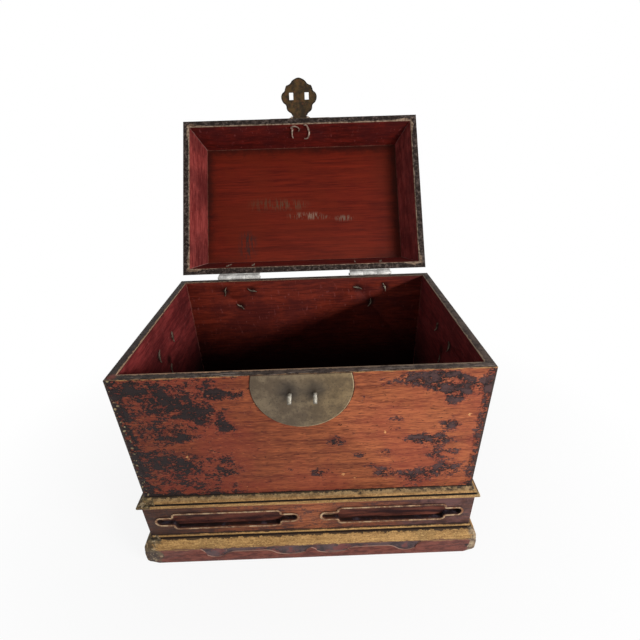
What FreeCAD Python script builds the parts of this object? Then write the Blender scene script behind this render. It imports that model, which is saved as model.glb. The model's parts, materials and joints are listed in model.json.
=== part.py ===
"""Lacquered box with a hinged hipped lid, in millimetres.

The origin is the middle of the underside, +Z is up and the front faces -Y. The lid is shown
open on its stop, the hasp stands up on its heel, and both bails hang. Every piece that is
carried by a wall is drawn as if that wall were the front one: y = 0 is the outer face of the
boards and -y points out of the box. Its Placement then turns it to the wall that carries it.
"""
import FreeCAD, Part
import os
import re
import Sketcher

CELLS = {
    # case boards, joined at the corners by through dovetails
    "body_width": 400, "body_depth": 268, "rim_height": 286, "board_thick": 10, "floor_thick": 10,
    "tail_count": 10, "pin_narrow": 8, "pin_flare": 2,
    # foot moulding: flat band with a rounded arris, torus, quirk and bead
    "foot_height": 45, "foot_reach": 15, "band_reach": 14.6, "band_height": 27, "foot_round": 3,
    "torus_top": 40.6, "torus_reach": 8.2, "torus_radius": 15, "quirk_reach": 5.4,
    "bead_tall": 3.6, "bead_radius": 1.9,
    # carved apron line of the foot moulding
    "apron_depth": 1, "apron_peak": 21, "apron_flat": 19, "apron_low": 13, "cusp_half": 8,
    "cusp_radius": 12, "front_lobe": 38, "front_lobe_radius": 47, "side_lobe": 20,
    "side_lobe_radius": 14.5, "lobe_run": 14, "run_radius": 18, "end_lobe": 24, "end_radius": 20,
    "end_rise": 9, "front_apron_inset": 55, "side_apron_inset": 30,
    # waist boards and their cusped openings
    "waist_height": 54, "waist_thick": 5, "opening_rise": 26, "front_opening_inset": 8.5,
    "side_opening_inset": 46, "opening_gap": 31, "tongue_reach": 22, "opening_tall": 12.5,
    "tongue_tall": 5.5, "frame_width": 2.6, "frame_rise": 1.3,
    # ledge moulding: a hollow whose lip stands back above a quirk and a bead
    "ledge_height": 12, "ledge_bead": 5.2, "ledge_bead_reach": 8, "ledge_bead_radius": 3.1,
    "ledge_quirk": 0.8, "ledge_quirk_reach": 5.4, "ledge_lip": 6.5, "ledge_lip_reach": 6.6,
    "cove_radius": 14, "cove_top": 0.8,
    # lid: four sloping boards mitred at the hips, and a top panel with bevelled edges
    "lid_depth": 42, "lid_wall": 9.8, "lid_top_thick": 9, "lid_slope": 25.36, "lid_open": 123.44,
    "seam_gap": 0.3, "pin_offset": 6.9,
    # round lock plate in two halves, and the staples of its padlock
    "plate_thick": 1.2, "lock_radius": 53.5, "lock_drop": 16, "staple_spacing": 26.5,
    "staple_drop": 25.5, "staple_outer": 6, "staple_inner": 3.2, "staple_wide": 4, "staple_leg": 10,
    "staple_clear": 1.05,
    # hasp, its rod and the two cotters that hold the rod
    "hasp_thick": 2, "knuckle_radius": 3.45, "knuckle_width": 22.6, "rod_radius": 1.75,
    "rod_length": 35, "rod_level": 9, "hasp_gap": 0.35, "hasp_lean_angle": 15, "stop_gap": 0.25,
    "hasp_length": 63, "tip_half": 11, "tip_drop": 7, "tip_radius": 13.5, "brow_half": 17,
    "brow_drop": 11.5, "brow_radius": 8, "cheek_half": 24, "cheek_drop": 21, "cheek_radius": 16,
    "lobe_drop": 40, "side_radius": 11.2, "chin_half": 20, "chin_drop": 45.5, "chin_radius": 8,
    "jaw_half": 16, "jaw_drop": 54, "jaw_radius": 10, "neck_half": 13.3, "neck_drop": 58.8,
    "neck_radius": 9, "slot_wide": 8.3, "slot_tall": 14.5, "cotter_spacing": 27.6,
    # split cotters of flat strip: an eye or a hammered head, a shank, and two legs bent apart inside
    "cotter_wide": 3, "cotter_shank": 2.2, "cotter_eye": 3.5, "cotter_leg": 8, "leg_thick": 1.2,
    "cotter_hole": 2.1, "head_radius": 4, "head_rise": 1.8, "head_slope": 45,
    # hinges: three knuckles on a pin, and a stop lug on the outer knuckles
    "hinge_inset": 92.5, "hinge_width": 66, "hinge_knuckle": 22, "hinge_radius": 5.2,
    "hinge_pin": 2, "pin_tail": 2, "run_gap": 0.08, "side_gap": 0.3, "leaf_gap": 0.5,
    "case_leaf": 56, "case_leaf_side": 24, "lid_leaf": 34, "lid_leaf_side": 18,
    "leaf_foot": 22, "leaf_foot_radius": 12.2, "leaf_round": 9, "leaf_sweep": 26.4,
    "web_reach": 9, "lug_length": 10, "lug_thick": 2,
    "leaf_pin_offset": 22, "leaf_pin_drop": 17, "leaf_pin_low": 44, "lid_pin_rise": 19,
    # drop handles of the two ends
    "bail_level": 42, "post_spacing": 54, "bail_radius": 2.75, "post_eye": 4.6, "post_gap": 0.35,
    "post_leg": 10, "bail_wide": 66, "bail_drop": 44, "bail_bend": 12, "bail_corner": 5,
    "bail_tail": 5, "handle_top": 32, "handle_half": 37, "handle_side": 20, "handle_round": 9,
    "handle_pin_drop": 78, "handle_foot": 9, "handle_sweep": 34,
}

doc = FreeCAD.newDocument("HippedLidBox")
sheet = doc.addObject("Spreadsheet::Sheet", "Dimensions")
for row, (alias, amount) in enumerate(CELLS.items(), start=1):
    sheet.set(f"A{row}", str(amount))
    sheet.setAlias(f"A{row}", alias)
doc.recompute()

FRONT, RIGHT, BACK, LEFT = 0, 90, 180, -90
SIDES = {"front": FRONT, "right": RIGHT, "back": BACK, "left": LEFT}
X_AXIS, Y_AXIS, Z_AXIS = FreeCAD.Vector(1, 0, 0), FreeCAD.Vector(0, 1, 0), FreeCAD.Vector(0, 0, 1)
FACE_OUT = {FRONT: "body_depth / 2", BACK: "body_depth / 2",
            LEFT: "body_width / 2", RIGHT: "body_width / 2"}
HALF_LENGTH = {FRONT: "body_width / 2", BACK: "body_width / 2",
               LEFT: "body_depth / 2", RIGHT: "body_depth / 2"}

# Places and sizes that follow from the cells
WAIST_LEVEL = "foot_height"
LEDGE_LEVEL = "(foot_height + waist_height)"
ROD_OUT = "(plate_thick + hasp_gap + knuckle_radius)"
HASP_SWING = "(180 - lid_open + hasp_lean_angle)"
HASP_SLOT_DROP = "(rod_level + staple_drop)"
POST_OUT = "(plate_thick + post_gap + post_eye)"
STAPLE_OUT = f"({ROD_OUT} - knuckle_radius + hasp_thick + staple_clear + staple_inner)"
LID_INSET = "(lid_depth * tan(lid_slope))"
COTTER_SLOT_WIDE = "(cotter_wide + 2 * run_gap)"
COTTER_SLOT_TALL = "(cotter_shank + 2 * run_gap)"
STAPLE_SLOT = "(staple_wide + 2 * run_gap)"
STAPLE_PAIR = ("-staple_spacing / 2", "staple_spacing / 2")
COTTER_PAIR = ("-cotter_spacing / 2", "cotter_spacing / 2")
POST_PAIR = ("-post_spacing / 2", "post_spacing / 2")


# ---------------------------------------------------------------- helpers for sheet and sketches

def size(formula):
    """The value of a formula of the sheet's cells."""
    return float(sheet.evalExpression(str(formula)))


def linked(formula):
    """A formula as other objects read it: names with an underscore are cells of the sheet."""
    return re.sub(r"\b([a-z]+_\w+)\b", r"Dimensions.\1", str(formula))


def new_body(label):
    body = doc.addObject("PartDesign::Body", label)
    body.Label = label
    return body


def new_sketch(body, plane, offset="0", tilted=False):
    """Sketch on an origin plane of its body, moved along the normal, or leaned onto the lid slope."""
    sketch = body.newObject("Sketcher::SketchObject", f"{body.Label}_sketch")
    support = [part for part in body.Origin.OriginFeatures if part.Role == plane][0]
    sketch.AttachmentSupport = [(support, "")]
    sketch.MapMode = "FlatFace"
    if tilted:
        lean = FreeCAD.Rotation(FreeCAD.Vector(-1, 0, 0), size("lid_slope"))
        sketch.AttachmentOffset = FreeCAD.Placement(FreeCAD.Vector(), lean)
        sketch.setExpression("AttachmentOffset.Rotation.Angle", linked("lid_slope"))
    sketch.setExpression("AttachmentOffset.Base.z", linked(offset))
    return sketch


def pin_point(sketch, geometry, position, x_formula, y_formula):
    """Hold one point of the sketch at formulas of the cells."""
    for kind, formula in (("DistanceX", x_formula), ("DistanceY", y_formula)):
        rule = Sketcher.Constraint(kind, -1, 1, geometry, position, size(formula))
        number = sketch.addConstraint(rule)
        sketch.setExpression(f"Constraints[{number}]", linked(formula))


def hold_radius(sketch, geometry, formula):
    number = sketch.addConstraint(Sketcher.Constraint("Radius", geometry, size(formula)))
    sketch.setExpression(f"Constraints[{number}]", linked(formula))


def arc_middle(start, end, radius, bulge):
    """Middle point of the shorter arc that bulges to the left or right of the way from start to end."""
    chord = end - start
    sagitta = radius - (max(radius ** 2 - chord.Length ** 2 / 4, 0)) ** 0.5
    left = FreeCAD.Vector(-chord.y, chord.x, 0).normalize()
    return (start + end) * 0.5 + left * (sagitta if bulge == "left" else -sagitta)


def draw(sketch, path):
    """Closed outline. A step (x, y) is a straight edge to that corner; a step (x, y, radius, bulge)
    is an arc to it."""
    corners = [FreeCAD.Vector(size(step[0]), size(step[1]), 0) for step in path]
    ends = []
    for number, step in enumerate(path):
        start, end = corners[number - 1], corners[number]
        if len(step) == 2:
            index = sketch.addGeometry(Part.LineSegment(start, end), False)
        else:
            middle = arc_middle(start, end, size(step[2]), step[3])
            index = sketch.addGeometry(Part.Arc(start, middle, end), False)
            hold_radius(sketch, index, step[2])
        forward = (sketch.getPoint(index, 1) - start).Length < (sketch.getPoint(index, 2) - start).Length
        ends.append((index, 1, 2) if forward else (index, 2, 1))
    for number, step in enumerate(path):
        edge, following = ends[number], ends[(number + 1) % len(path)]
        joint = Sketcher.Constraint("Coincident", edge[0], edge[2], following[0], following[1])
        sketch.addConstraint(joint)
        pin_point(sketch, edge[0], edge[2], step[0], step[1])
    return sketch


def draw_circle(sketch, x_formula, y_formula, radius):
    centre = FreeCAD.Vector(size(x_formula), size(y_formula), 0)
    index = sketch.addGeometry(Part.Circle(centre, Z_AXIS, size(radius)), False)
    pin_point(sketch, index, 3, x_formula, y_formula)
    hold_radius(sketch, index, radius)
    return sketch


def draw_flats(sketch, x_formula, y_formula, radius):
    """Regular octagon, the section of forged work."""
    far, near = f"{radius} * cos(22.5)", f"{radius} * sin(22.5)"
    corners = [(far, near), (near, far), (f"-{near}", far), (f"-{far}", near),
               (f"-{far}", f"-{near}"), (f"-{near}", f"-{far}"), (near, f"-{far}"), (far, f"-{near}")]
    return draw(sketch, [(f"{x_formula} + {x}", f"{y_formula} + {y}") for x, y in corners])


def reflected(steps, flip_x, flip_y):
    """The same steps walked back from the last corner to the first, mirrored. Arcs keep their bulge."""
    walk = []
    bend = ()
    for step in reversed(steps):
        walk.append((f"{flip_x}({step[0]})", f"{flip_y}({step[1]})") + bend)
        bend = tuple(step[2:])
    return walk


def both_halves(half):
    """Closed path that is its own mirror image in x, from the half that starts on the mirror line."""
    return list(half[1:]) + reflected(half, "-", "")


def rectangle(x_low, x_high, y_low, y_high):
    return [(x_low, y_low), (x_high, y_low), (x_high, y_high), (x_low, y_high)]


def centred(width, y_low, y_high):
    return rectangle(f"-({width}) / 2", f"({width}) / 2", y_low, y_high)


def pad(body, sketch, length, both_ways=False, back_way=False):
    feature = body.newObject("PartDesign::Pad", f"{body.Label}_pad")
    feature.Profile = sketch
    feature.SideType = "Symmetric" if both_ways else "One side"
    feature.Reversed = back_way
    feature.setExpression("Length", linked(length))
    return feature


def pocket(body, sketch, length, both_ways=False):
    feature = body.newObject("PartDesign::Pocket", f"{body.Label}_pocket")
    feature.Profile = sketch
    feature.SideType = "Symmetric" if both_ways else "One side"
    feature.setExpression("Length", linked(length))
    return feature


def cut_through(body, sketch):
    """Cut both ways from the sketch, right through the piece."""
    feature = body.newObject("PartDesign::Pocket", f"{body.Label}_through")
    feature.Profile = sketch
    feature.SideType = "Symmetric"
    feature.Type = "ThroughAll"
    return feature


def repeat_up(body, feature, run, count):
    """Copies of a feature along Z: count of them, the last one a run above the first."""
    axis = [part for part in body.Origin.OriginFeatures if part.Role == "Z_Axis"][0]
    pattern = body.newObject("PartDesign::LinearPattern", f"{body.Label}_pattern")
    pattern.Originals = [feature]
    pattern.Direction = (axis, [""])
    pattern.setExpression("Length", linked(run))
    pattern.setExpression("Occurrences", linked(count))
    body.Tip = pattern
    return pattern


# ---------------------------------------------------------------- helpers for placing

def on_case(side, level="0", shift="0"):
    """Placement of a piece drawn as on the front wall: turned to its side of the case."""
    turn = FreeCAD.Rotation(Z_AXIS, side)
    seat = turn.multVec(FreeCAD.Vector(size(shift), -size(FACE_OUT[side]), 0))
    return FreeCAD.Placement(seat + Z_AXIS * size(level), turn)


def lid_swing():
    """The turn about the hinge pins that opens the lid."""
    turn = FreeCAD.Rotation(X_AXIS, -size("lid_open"))
    pins = FreeCAD.Vector(0, size("body_depth / 2 + pin_offset"), size("rim_height"))
    return FreeCAD.Placement(FreeCAD.Vector(), turn, pins)


def on_lid(side, level="0", shift="0"):
    """Placement of a piece drawn as on the front wall of the closed lid, its seam at z = 0."""
    return lid_swing().multiply(on_case(side, f"rim_height + {level}", shift))


def group(label, master, placements):
    """One node of several equal, separate solids, each a placed copy of a body that isn't a node."""
    shapes = []
    for place in placements:
        copy = master.Shape.copy()
        copy.Placement = place.multiply(copy.Placement)
        shapes.append(copy)
    node = doc.addObject("Part::Feature", label)
    node.Label = label
    node.Shape = Part.makeCompound(shapes)
    nodes.append(node)
    return node


nodes = []


def finish(body, placement):
    body.Placement = placement
    nodes.append(body)


# ---------------------------------------------------------------- case: boards and floor

def cut_holes(body, centres, tilted=False):
    """Eight-sided punched holes through a wall, on formulas (x, z) of its face."""
    sketch = new_sketch(body, "XZ_Plane", tilted=tilted)
    for x_formula, z_formula in centres:
        draw_flats(sketch, x_formula, z_formula, "cotter_hole")
    cut_through(body, sketch)


def cut_slots(body, centres, wide, tall):
    """Chopped slots through a wall, for the flat shanks of eye cotters."""
    sketch = new_sketch(body, "XZ_Plane")
    for x_formula, z_formula in centres:
        draw(sketch, rectangle(f"{x_formula} - ({wide}) / 2", f"{x_formula} + ({wide}) / 2",
                               f"{z_formula} - ({tall}) / 2", f"{z_formula} + ({tall}) / 2"))
    cut_through(body, sketch)


def pin_board(label, side):
    """Front or back board: sockets at both ends leave the pins of the dovetails standing."""
    body = new_body(label)
    face = new_sketch(body, "XZ_Plane")
    draw(face, centred("body_width", "0", "rim_height"))
    pad(body, face, "board_thick", back_way=True)
    pitch = "rim_height / tail_count"
    narrow = f"({pitch} - pin_narrow) / 2 - pin_flare"
    wide = f"({pitch} - pin_narrow) / 2"
    socket = [("0", f"{pitch} / 2 - ({wide})"), ("board_thick", f"{pitch} / 2 - ({narrow})"),
              ("board_thick", f"{pitch} / 2 + ({narrow})"), ("0", f"{pitch} / 2 + ({wide})")]
    for end in ("body_width / 2", "board_thick - body_width / 2"):
        sketch = draw(new_sketch(body, "YZ_Plane", end), socket)
        feature = pocket(body, sketch, "board_thick")
        repeat_up(body, feature, f"rim_height - {pitch}", "tail_count")
    if side == FRONT:
        cut_slots(body, [(x, "rim_height - staple_drop") for x in STAPLE_PAIR], STAPLE_SLOT,
                  STAPLE_SLOT)
    else:
        cut_holes(body, CASE_LEAF_PINS)
    finish(body, on_case(side))


def tail_board(label, side):
    """Left or right board: notches for the pins leave the tails, which reach the front and back faces."""
    body = new_body(label)
    face = new_sketch(body, "XZ_Plane")
    draw(face, centred("body_depth", "0", "rim_height"))
    pad(body, face, "board_thick", back_way=True)
    sketch = new_sketch(body, "XZ_Plane", "-board_thick")
    half = "pin_narrow / 2"
    for way in ("-", ""):
        outer, inner = f"{way}body_depth / 2", f"{way}(body_depth / 2 - board_thick)"
        notch = [(outer, f"-{half}"), (outer, half), (inner, f"{half} + pin_flare"),
                 (inner, f"-({half} + pin_flare)")]
        draw(sketch, notch)
    feature = cut_through(body, sketch)
    repeat_up(body, feature, "rim_height", "tail_count + 1")
    cut_slots(body, [(x, "rim_height - bail_level") for x in POST_PAIR], COTTER_SLOT_WIDE,
              COTTER_SLOT_TALL)
    cut_holes(body, [("0", "rim_height - handle_pin_drop")])
    finish(body, on_case(side))


def floor_board():
    """Floor let in between the four boards, flush with the underside."""
    body = new_body("floor_board")
    wide, deep = "body_width / 2 - board_thick", "body_depth / 2 - board_thick"
    sketch = draw(new_sketch(body, "XY_Plane"), rectangle(f"-({wide})", wide, f"-({deep})", deep))
    pad(body, sketch, "floor_thick")
    finish(body, FreeCAD.Placement())


# ---------------------------------------------------------------- mitred runs: plinth and lid walls

def mitred_run(label, side, profile, reach_out, reach_in):
    """A length of board or moulding with this section (y, z), cut on the mitre at both corners."""
    body = new_body(label)
    section = draw(new_sketch(body, "YZ_Plane"), profile)
    half = HALF_LENGTH[side]
    pad(body, section, f"2 * ({half} + ({reach_out}))", both_ways=True)
    corners = new_sketch(body, "XY_Plane")
    out, inward = f"({reach_out}) + board_thick", f"({reach_in}) + board_thick"
    for way in ("", "-"):
        draw(corners, [(f"{way}({half} + {out})", f"-({out})"), (f"{way}({half} + {out})", inward),
                       (f"{way}({half} - ({inward}))", inward)])
    cut_through(body, corners)
    return body


def foot_section():
    return [("0", "0"), ("-(band_reach - foot_round)", "0"),
            ("-band_reach", "foot_round", "foot_round", "left"),
            ("-band_reach", "band_height"), ("-foot_reach", "band_height"),
            ("-torus_reach", "torus_top", "torus_radius", "left"),
            ("-quirk_reach", "torus_top"), ("-quirk_reach", "foot_height - bead_tall"),
            ("-quirk_reach", "foot_height", "bead_radius", "left"), ("0", "foot_height")]


def ledge_section():
    quirk_top = "ledge_bead + ledge_quirk"
    return [("0", "0"), ("-ledge_bead_reach", "0"),
            ("-ledge_bead_reach", "ledge_bead", "ledge_bead_radius", "left"),
            ("-ledge_quirk_reach", "ledge_bead"), ("-ledge_quirk_reach", quirk_top),
            ("-ledge_lip_reach", "ledge_lip"),
            ("-cove_top", "ledge_height", "cove_radius", "right"), ("0", "ledge_height")]


def waist_section():
    return [("0", "0"), ("-waist_thick", "0"), ("-waist_thick", "waist_height"), ("0", "waist_height")]


def lid_wall_section():
    foot = "seam_gap * tan(lid_slope)"
    return [(foot, "seam_gap"), (LID_INSET, "lid_depth"), (f"{LID_INSET} + lid_wall", "lid_depth"),
            (f"{foot} + lid_wall", "seam_gap")]


def carve_apron(body, reach, lobe, lobe_radius):
    """Sunk field above the cusped line of the foot: a cusp in the middle, a long lobe on each side
    of it, a level run, and a short lobe that rises to the top of the band."""
    first = f"cusp_half + {lobe}"
    last = f"({reach}) - end_rise - end_lobe"
    half = [("0", "apron_peak"),
            ("cusp_half", "apron_low", "cusp_radius", "left"),
            (first, "apron_low", lobe_radius, "right"),
            (f"{first} + lobe_run", "apron_flat", "run_radius", "left"),
            (f"{last} - lobe_run", "apron_flat"),
            (last, "apron_low", "run_radius", "left"),
            (f"{last} + end_lobe", "apron_low", "end_radius", "right"),
            (reach, "band_height", "run_radius", "left")]
    face = draw(new_sketch(body, "XZ_Plane", "band_reach - apron_depth"), both_halves(half))
    pocket(body, face, "2 * apron_depth").Reversed = True


def opening_path(centre, length, grow="0"):
    """Cusped opening: a long field with a quarter-round and a quarter-hollow to each rounded tongue.
    length is from its centre to the end of a tongue."""
    bend = "(opening_tall - tongue_tall) / 2"
    field, thin = f"(opening_tall + {grow})", f"(tongue_tall + {grow})"
    half = f"({length}) - tongue_reach"
    quarter = [(f"{half} - {bend}", field),
               (f"{half} + {grow}", f"tongue_tall + {bend}", f"{bend} + {grow}", "left"),
               (f"{half} + {bend}", thin, f"{bend} - {grow}", "right"),
               (f"({length}) - tongue_tall", thin),
               (f"({length}) + {grow}", "0", thin, "left")]
    right = quarter + reflected(quarter, "", "-")[1:]
    return [(f"{centre} + {step[0]}", f"opening_rise + {step[1]}") + tuple(step[2:])
            for step in right + reflected(right, "-", "")]


def pierce_waist(body, centres, length):
    """Openings right through the waist board, each with a raised bead around it."""
    beads = new_sketch(body, "XZ_Plane", "waist_thick - frame_rise")
    holes = new_sketch(body, "XZ_Plane")
    for centre in centres:
        draw(beads, opening_path(centre, length, "frame_width"))
        draw(holes, opening_path(centre, length))
    pad(body, beads, "2 * frame_rise")
    cut_through(body, holes)


def plinth():
    """Foot, waist and ledge, each a run along all four sides."""
    for name, side in SIDES.items():
        foot = mitred_run(f"{name}_foot", side, foot_section(), "foot_reach + bead_radius", "0")
        if side == FRONT:
            carve_apron(foot, "body_width / 2 - front_apron_inset", "front_lobe", "front_lobe_radius")
        elif side != BACK:
            carve_apron(foot, "body_depth / 2 - side_apron_inset", "side_lobe", "side_lobe_radius")
        finish(foot, on_case(side))
        waist = mitred_run(f"{name}_waist", side, waist_section(), "waist_thick", "0")
        if side == FRONT:
            centre = "(body_width / 2 - front_opening_inset + opening_gap / 2) / 2"
            pierce_waist(waist, (f"-{centre}", centre), f"{centre} - opening_gap / 2")
        elif side != BACK:
            pierce_waist(waist, ("0",), "body_depth / 2 - side_opening_inset")
        finish(waist, on_case(side, WAIST_LEVEL))
        ledge = mitred_run(f"{name}_ledge", side, ledge_section(),
                           "ledge_bead_reach + ledge_bead_radius", "0")
        finish(ledge, on_case(side, LEDGE_LEVEL))


def lid_boards():
    """Four sloping walls and the top panel, whose edges run on in the same slope."""
    for name, side in SIDES.items():
        wall = mitred_run(f"lid_{name}_board", side, lid_wall_section(), "0",
                          f"{LID_INSET} + lid_wall")
        if side == FRONT:
            cut_slots(wall, [(x, "rod_level") for x in COTTER_PAIR], COTTER_SLOT_WIDE, COTTER_SLOT_TALL)
        if side == BACK:
            cut_holes(wall, LID_LEAF_PINS, tilted=True)
        finish(wall, on_lid(side))
    panel = new_body("lid_top_panel")
    wide, deep = f"body_width / 2 - {LID_INSET}", f"body_depth / 2 - {LID_INSET}"
    sketch = new_sketch(panel, "XY_Plane", "lid_depth")
    draw(sketch, rectangle(f"-({wide})", wide, f"-({deep})", deep))
    slab = pad(panel, sketch, "lid_top_thick")
    slab.setExpression("TaperAngle", linked("-lid_slope"))
    finish(panel, lid_swing().multiply(FreeCAD.Placement(Z_AXIS * size("rim_height"),
                                                         FreeCAD.Rotation())))


# ---------------------------------------------------------------- cotters

def eye_cotter(label, eye_out, eye_radius, eye_bore, wide, shank, wall, leg, slope="0"):
    """Split cotter of strip: an eye in front of the face, a shank through the wall and two legs that
    are bent apart flat on its inner face, which may lean by a slope."""
    body = new_body(label)
    eye = draw_flats(new_sketch(body, "YZ_Plane"), f"-({eye_out})", "0", eye_radius)
    pad(body, eye, wide, both_ways=True)
    start = f"(({eye_radius}) + ({eye_bore})) / 2 - ({eye_out})"
    half, lean = f"({shank}) / 2", f"tan({slope})"
    bar = [(start, f"-{half}"), (f"{wall} - {half} * {lean}", f"-{half}"),
           (f"{wall} - ({leg}) * {lean}", f"-({leg})"),
           (f"{wall} + leg_thick - ({leg}) * {lean}", f"-({leg})"),
           (f"{wall} + leg_thick + ({leg}) * {lean}", leg), (f"{wall} + ({leg}) * {lean}", leg),
           (f"{wall} + {half} * {lean}", half), (start, half)]
    pad(body, draw(new_sketch(body, "YZ_Plane"), bar), wide, both_ways=True)
    bore = draw_circle(new_sketch(body, "YZ_Plane"), f"-({eye_out})", "0", eye_bore)
    cut_through(body, bore)
    return body


def headed_cotter(label, seat, wall):
    """Split cotter with a hammered head on a plate, its legs bent apart flat inside the wall."""
    body = new_body(label)
    bar = [(f"-({seat})", "-cotter_shank / 2"), (wall, "-cotter_shank / 2"), (wall, "-cotter_leg"),
           (f"{wall} + leg_thick", "-cotter_leg"), (f"{wall} + leg_thick", "cotter_leg"),
           (wall, "cotter_leg"), (wall, "cotter_shank / 2"), (f"-({seat})", "cotter_shank / 2")]
    pad(body, draw(new_sketch(body, "YZ_Plane"), bar), "cotter_wide", both_ways=True)
    head = draw_flats(new_sketch(body, "XZ_Plane", seat), "0", "0", "head_radius")
    boss = pad(body, head, "head_rise")
    boss.setExpression("TaperAngle", linked("-head_slope"))
    return body


def turned_about_shank(place, degrees):
    return place.multiply(FreeCAD.Placement(FreeCAD.Vector(), FreeCAD.Rotation(Y_AXIS, degrees)))


# ---------------------------------------------------------------- lock plate, staples and hasp

def lock_plates():
    """The lower part of the disc lies on the case, the upper part leans on the lid."""
    lower = new_body("lock_plate_lower")
    half = "sqrt(lock_radius * lock_radius - (lock_drop - seam_gap) * (lock_drop - seam_gap))"
    disc = draw(new_sketch(lower, "XZ_Plane"),
                [(f"-({half})", "-seam_gap"), ("0", "-(lock_drop + lock_radius)", "lock_radius", "right"),
                 (half, "-seam_gap", "lock_radius", "right")])
    pad(lower, disc, "plate_thick")
    cut_slots(lower, [(x, "-staple_drop") for x in STAPLE_PAIR], STAPLE_SLOT, STAPLE_SLOT)
    finish(lower, on_case(FRONT, "rim_height"))
    upper = new_body("lock_plate_upper")
    foot = "2 * seam_gap"
    half = f"sqrt(lock_radius * lock_radius - (lock_drop + {foot}) * (lock_drop + {foot}))"
    disc = draw(new_sketch(upper, "XZ_Plane", tilted=True),
                [(half, foot), ("0", "lock_radius - lock_drop", "lock_radius", "right"),
                 (f"-({half})", foot, "lock_radius", "right")])
    pad(upper, disc, "plate_thick")
    cut_slots(upper, [(x, "rod_level") for x in COTTER_PAIR], COTTER_SLOT_WIDE, COTTER_SLOT_TALL)
    finish(upper, on_lid(FRONT))


def staples():
    master = eye_cotter("staple", STAPLE_OUT, "staple_outer", "staple_inner", "staple_wide",
                        "staple_wide", "board_thick", "staple_leg")
    doc.recompute()
    group("lock_staples", master,
          [on_case(FRONT, "rim_height - staple_drop", x) for x in STAPLE_PAIR])


def hasp_rod_and_cotters():
    wall = "(lid_wall + rod_level * tan(lid_slope))"
    master = eye_cotter("rod_cotter", ROD_OUT, "cotter_eye", "rod_radius + run_gap", "cotter_wide",
                        "cotter_shank", wall, "cotter_leg", "lid_slope")
    doc.recompute()
    group("hasp_cotters", master, [on_lid(FRONT, "rod_level", x) for x in COTTER_PAIR])
    rod = new_body("hasp_rod")
    section = draw_circle(new_sketch(rod, "YZ_Plane"), f"-{ROD_OUT}", "0", "rod_radius")
    pad(rod, section, "rod_length", both_ways=True)
    finish(rod, on_lid(FRONT, "rod_level"))


def hasp():
    """Lobed plate with two slots for the staples. Its rolled knuckle turns on the rod, and a heel
    behind the knuckle meets the lock plate when the hasp stands up."""
    body = new_body("hasp")
    heel = (f"({ROD_OUT} * cos(lid_slope) + rod_level * sin(lid_slope) - plate_thick - stop_gap"
            f" - knuckle_radius * cos({HASP_SWING} - lid_slope)) / sin({HASP_SWING} - lid_slope)")
    knuckle = "knuckle_width / 2"

    def down(drop):
        return f"{drop} - hasp_length"

    half = [("0", down("0")),
            ("tip_half", down("tip_drop"), "tip_radius", "right"),
            ("brow_half", down("brow_drop"), "brow_radius", "left"),
            ("cheek_half", down("cheek_drop"), "cheek_radius", "right"),
            ("cheek_half", down("lobe_drop"), "side_radius", "right"),
            ("chin_half", down("chin_drop"), "chin_radius", "left"),
            ("jaw_half", down("jaw_drop"), "jaw_radius", "right"),
            ("neck_half", down("neck_drop"), "neck_radius", "left"),
            (knuckle, down("neck_drop")), (knuckle, heel)]
    face = draw(new_sketch(body, "XZ_Plane", "-knuckle_radius"), both_halves(half))
    pad(body, face, "hasp_thick")
    roll = draw_circle(new_sketch(body, "YZ_Plane"), "0", "0", "knuckle_radius")
    pad(body, roll, "knuckle_width", both_ways=True)
    bore = draw_circle(new_sketch(body, "YZ_Plane"), "0", "0", "rod_radius + run_gap")
    cut_through(body, bore)
    slots = new_sketch(body, "XZ_Plane")
    for x in STAPLE_PAIR:
        draw(slots, rectangle(f"{x} - slot_wide / 2", f"{x} + slot_wide / 2",
                              f"-{HASP_SLOT_DROP} - slot_tall / 2", f"-{HASP_SLOT_DROP} + slot_tall / 2"))
    cut_through(body, slots)
    hang = FreeCAD.Placement(FreeCAD.Vector(0, -size(ROD_OUT), 0), FreeCAD.Rotation(X_AXIS, 0))
    lift = FreeCAD.Placement(FreeCAD.Vector(), FreeCAD.Rotation(X_AXIS, -size(HASP_SWING)))
    finish(body, on_lid(FRONT, "rod_level").multiply(hang).multiply(lift))


# ---------------------------------------------------------------- hinges

HINGES = {"left": "body_width / 2 - hinge_inset", "right": "hinge_inset - body_width / 2"}
LEAF_PINS = [("-leaf_pin_offset", "-leaf_pin_drop"), ("leaf_pin_offset", "-leaf_pin_drop"),
             ("0", "-leaf_pin_low")]
LID_PINS = [("-leaf_pin_offset", "lid_pin_rise"), ("leaf_pin_offset", "lid_pin_rise")]
CASE_LEAF_PINS = [(f"{hinge} + ({x})", f"rim_height + ({z})")
                  for hinge in HINGES.values() for x, z in LEAF_PINS]
LID_LEAF_PINS = [(f"{hinge} + ({x})", z) for hinge in HINGES.values() for x, z in LID_PINS]
LEG_TURNS = (90, 12, 62, 35, 80, 5)


def leaf_outline(near, side, far):
    """Leaf with straight sides that curve in, cusped, to a rounded foot. near is the edge at the pin."""
    sign = "-" if far.startswith("-") else ""
    bulge_in, bulge_out = ("left", "right") if sign else ("right", "left")
    half = "hinge_width / 2"
    neck = f"{far} - ({sign}leaf_round)"
    return [(half, near), (half, side), ("leaf_foot / 2", neck, "leaf_sweep", bulge_in),
            ("0", far, "leaf_foot_radius", bulge_out),
            ("-leaf_foot / 2", neck, "leaf_foot_radius", bulge_out),
            (f"-({half})", side, "leaf_sweep", bulge_in), (f"-({half})", near)]


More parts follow.
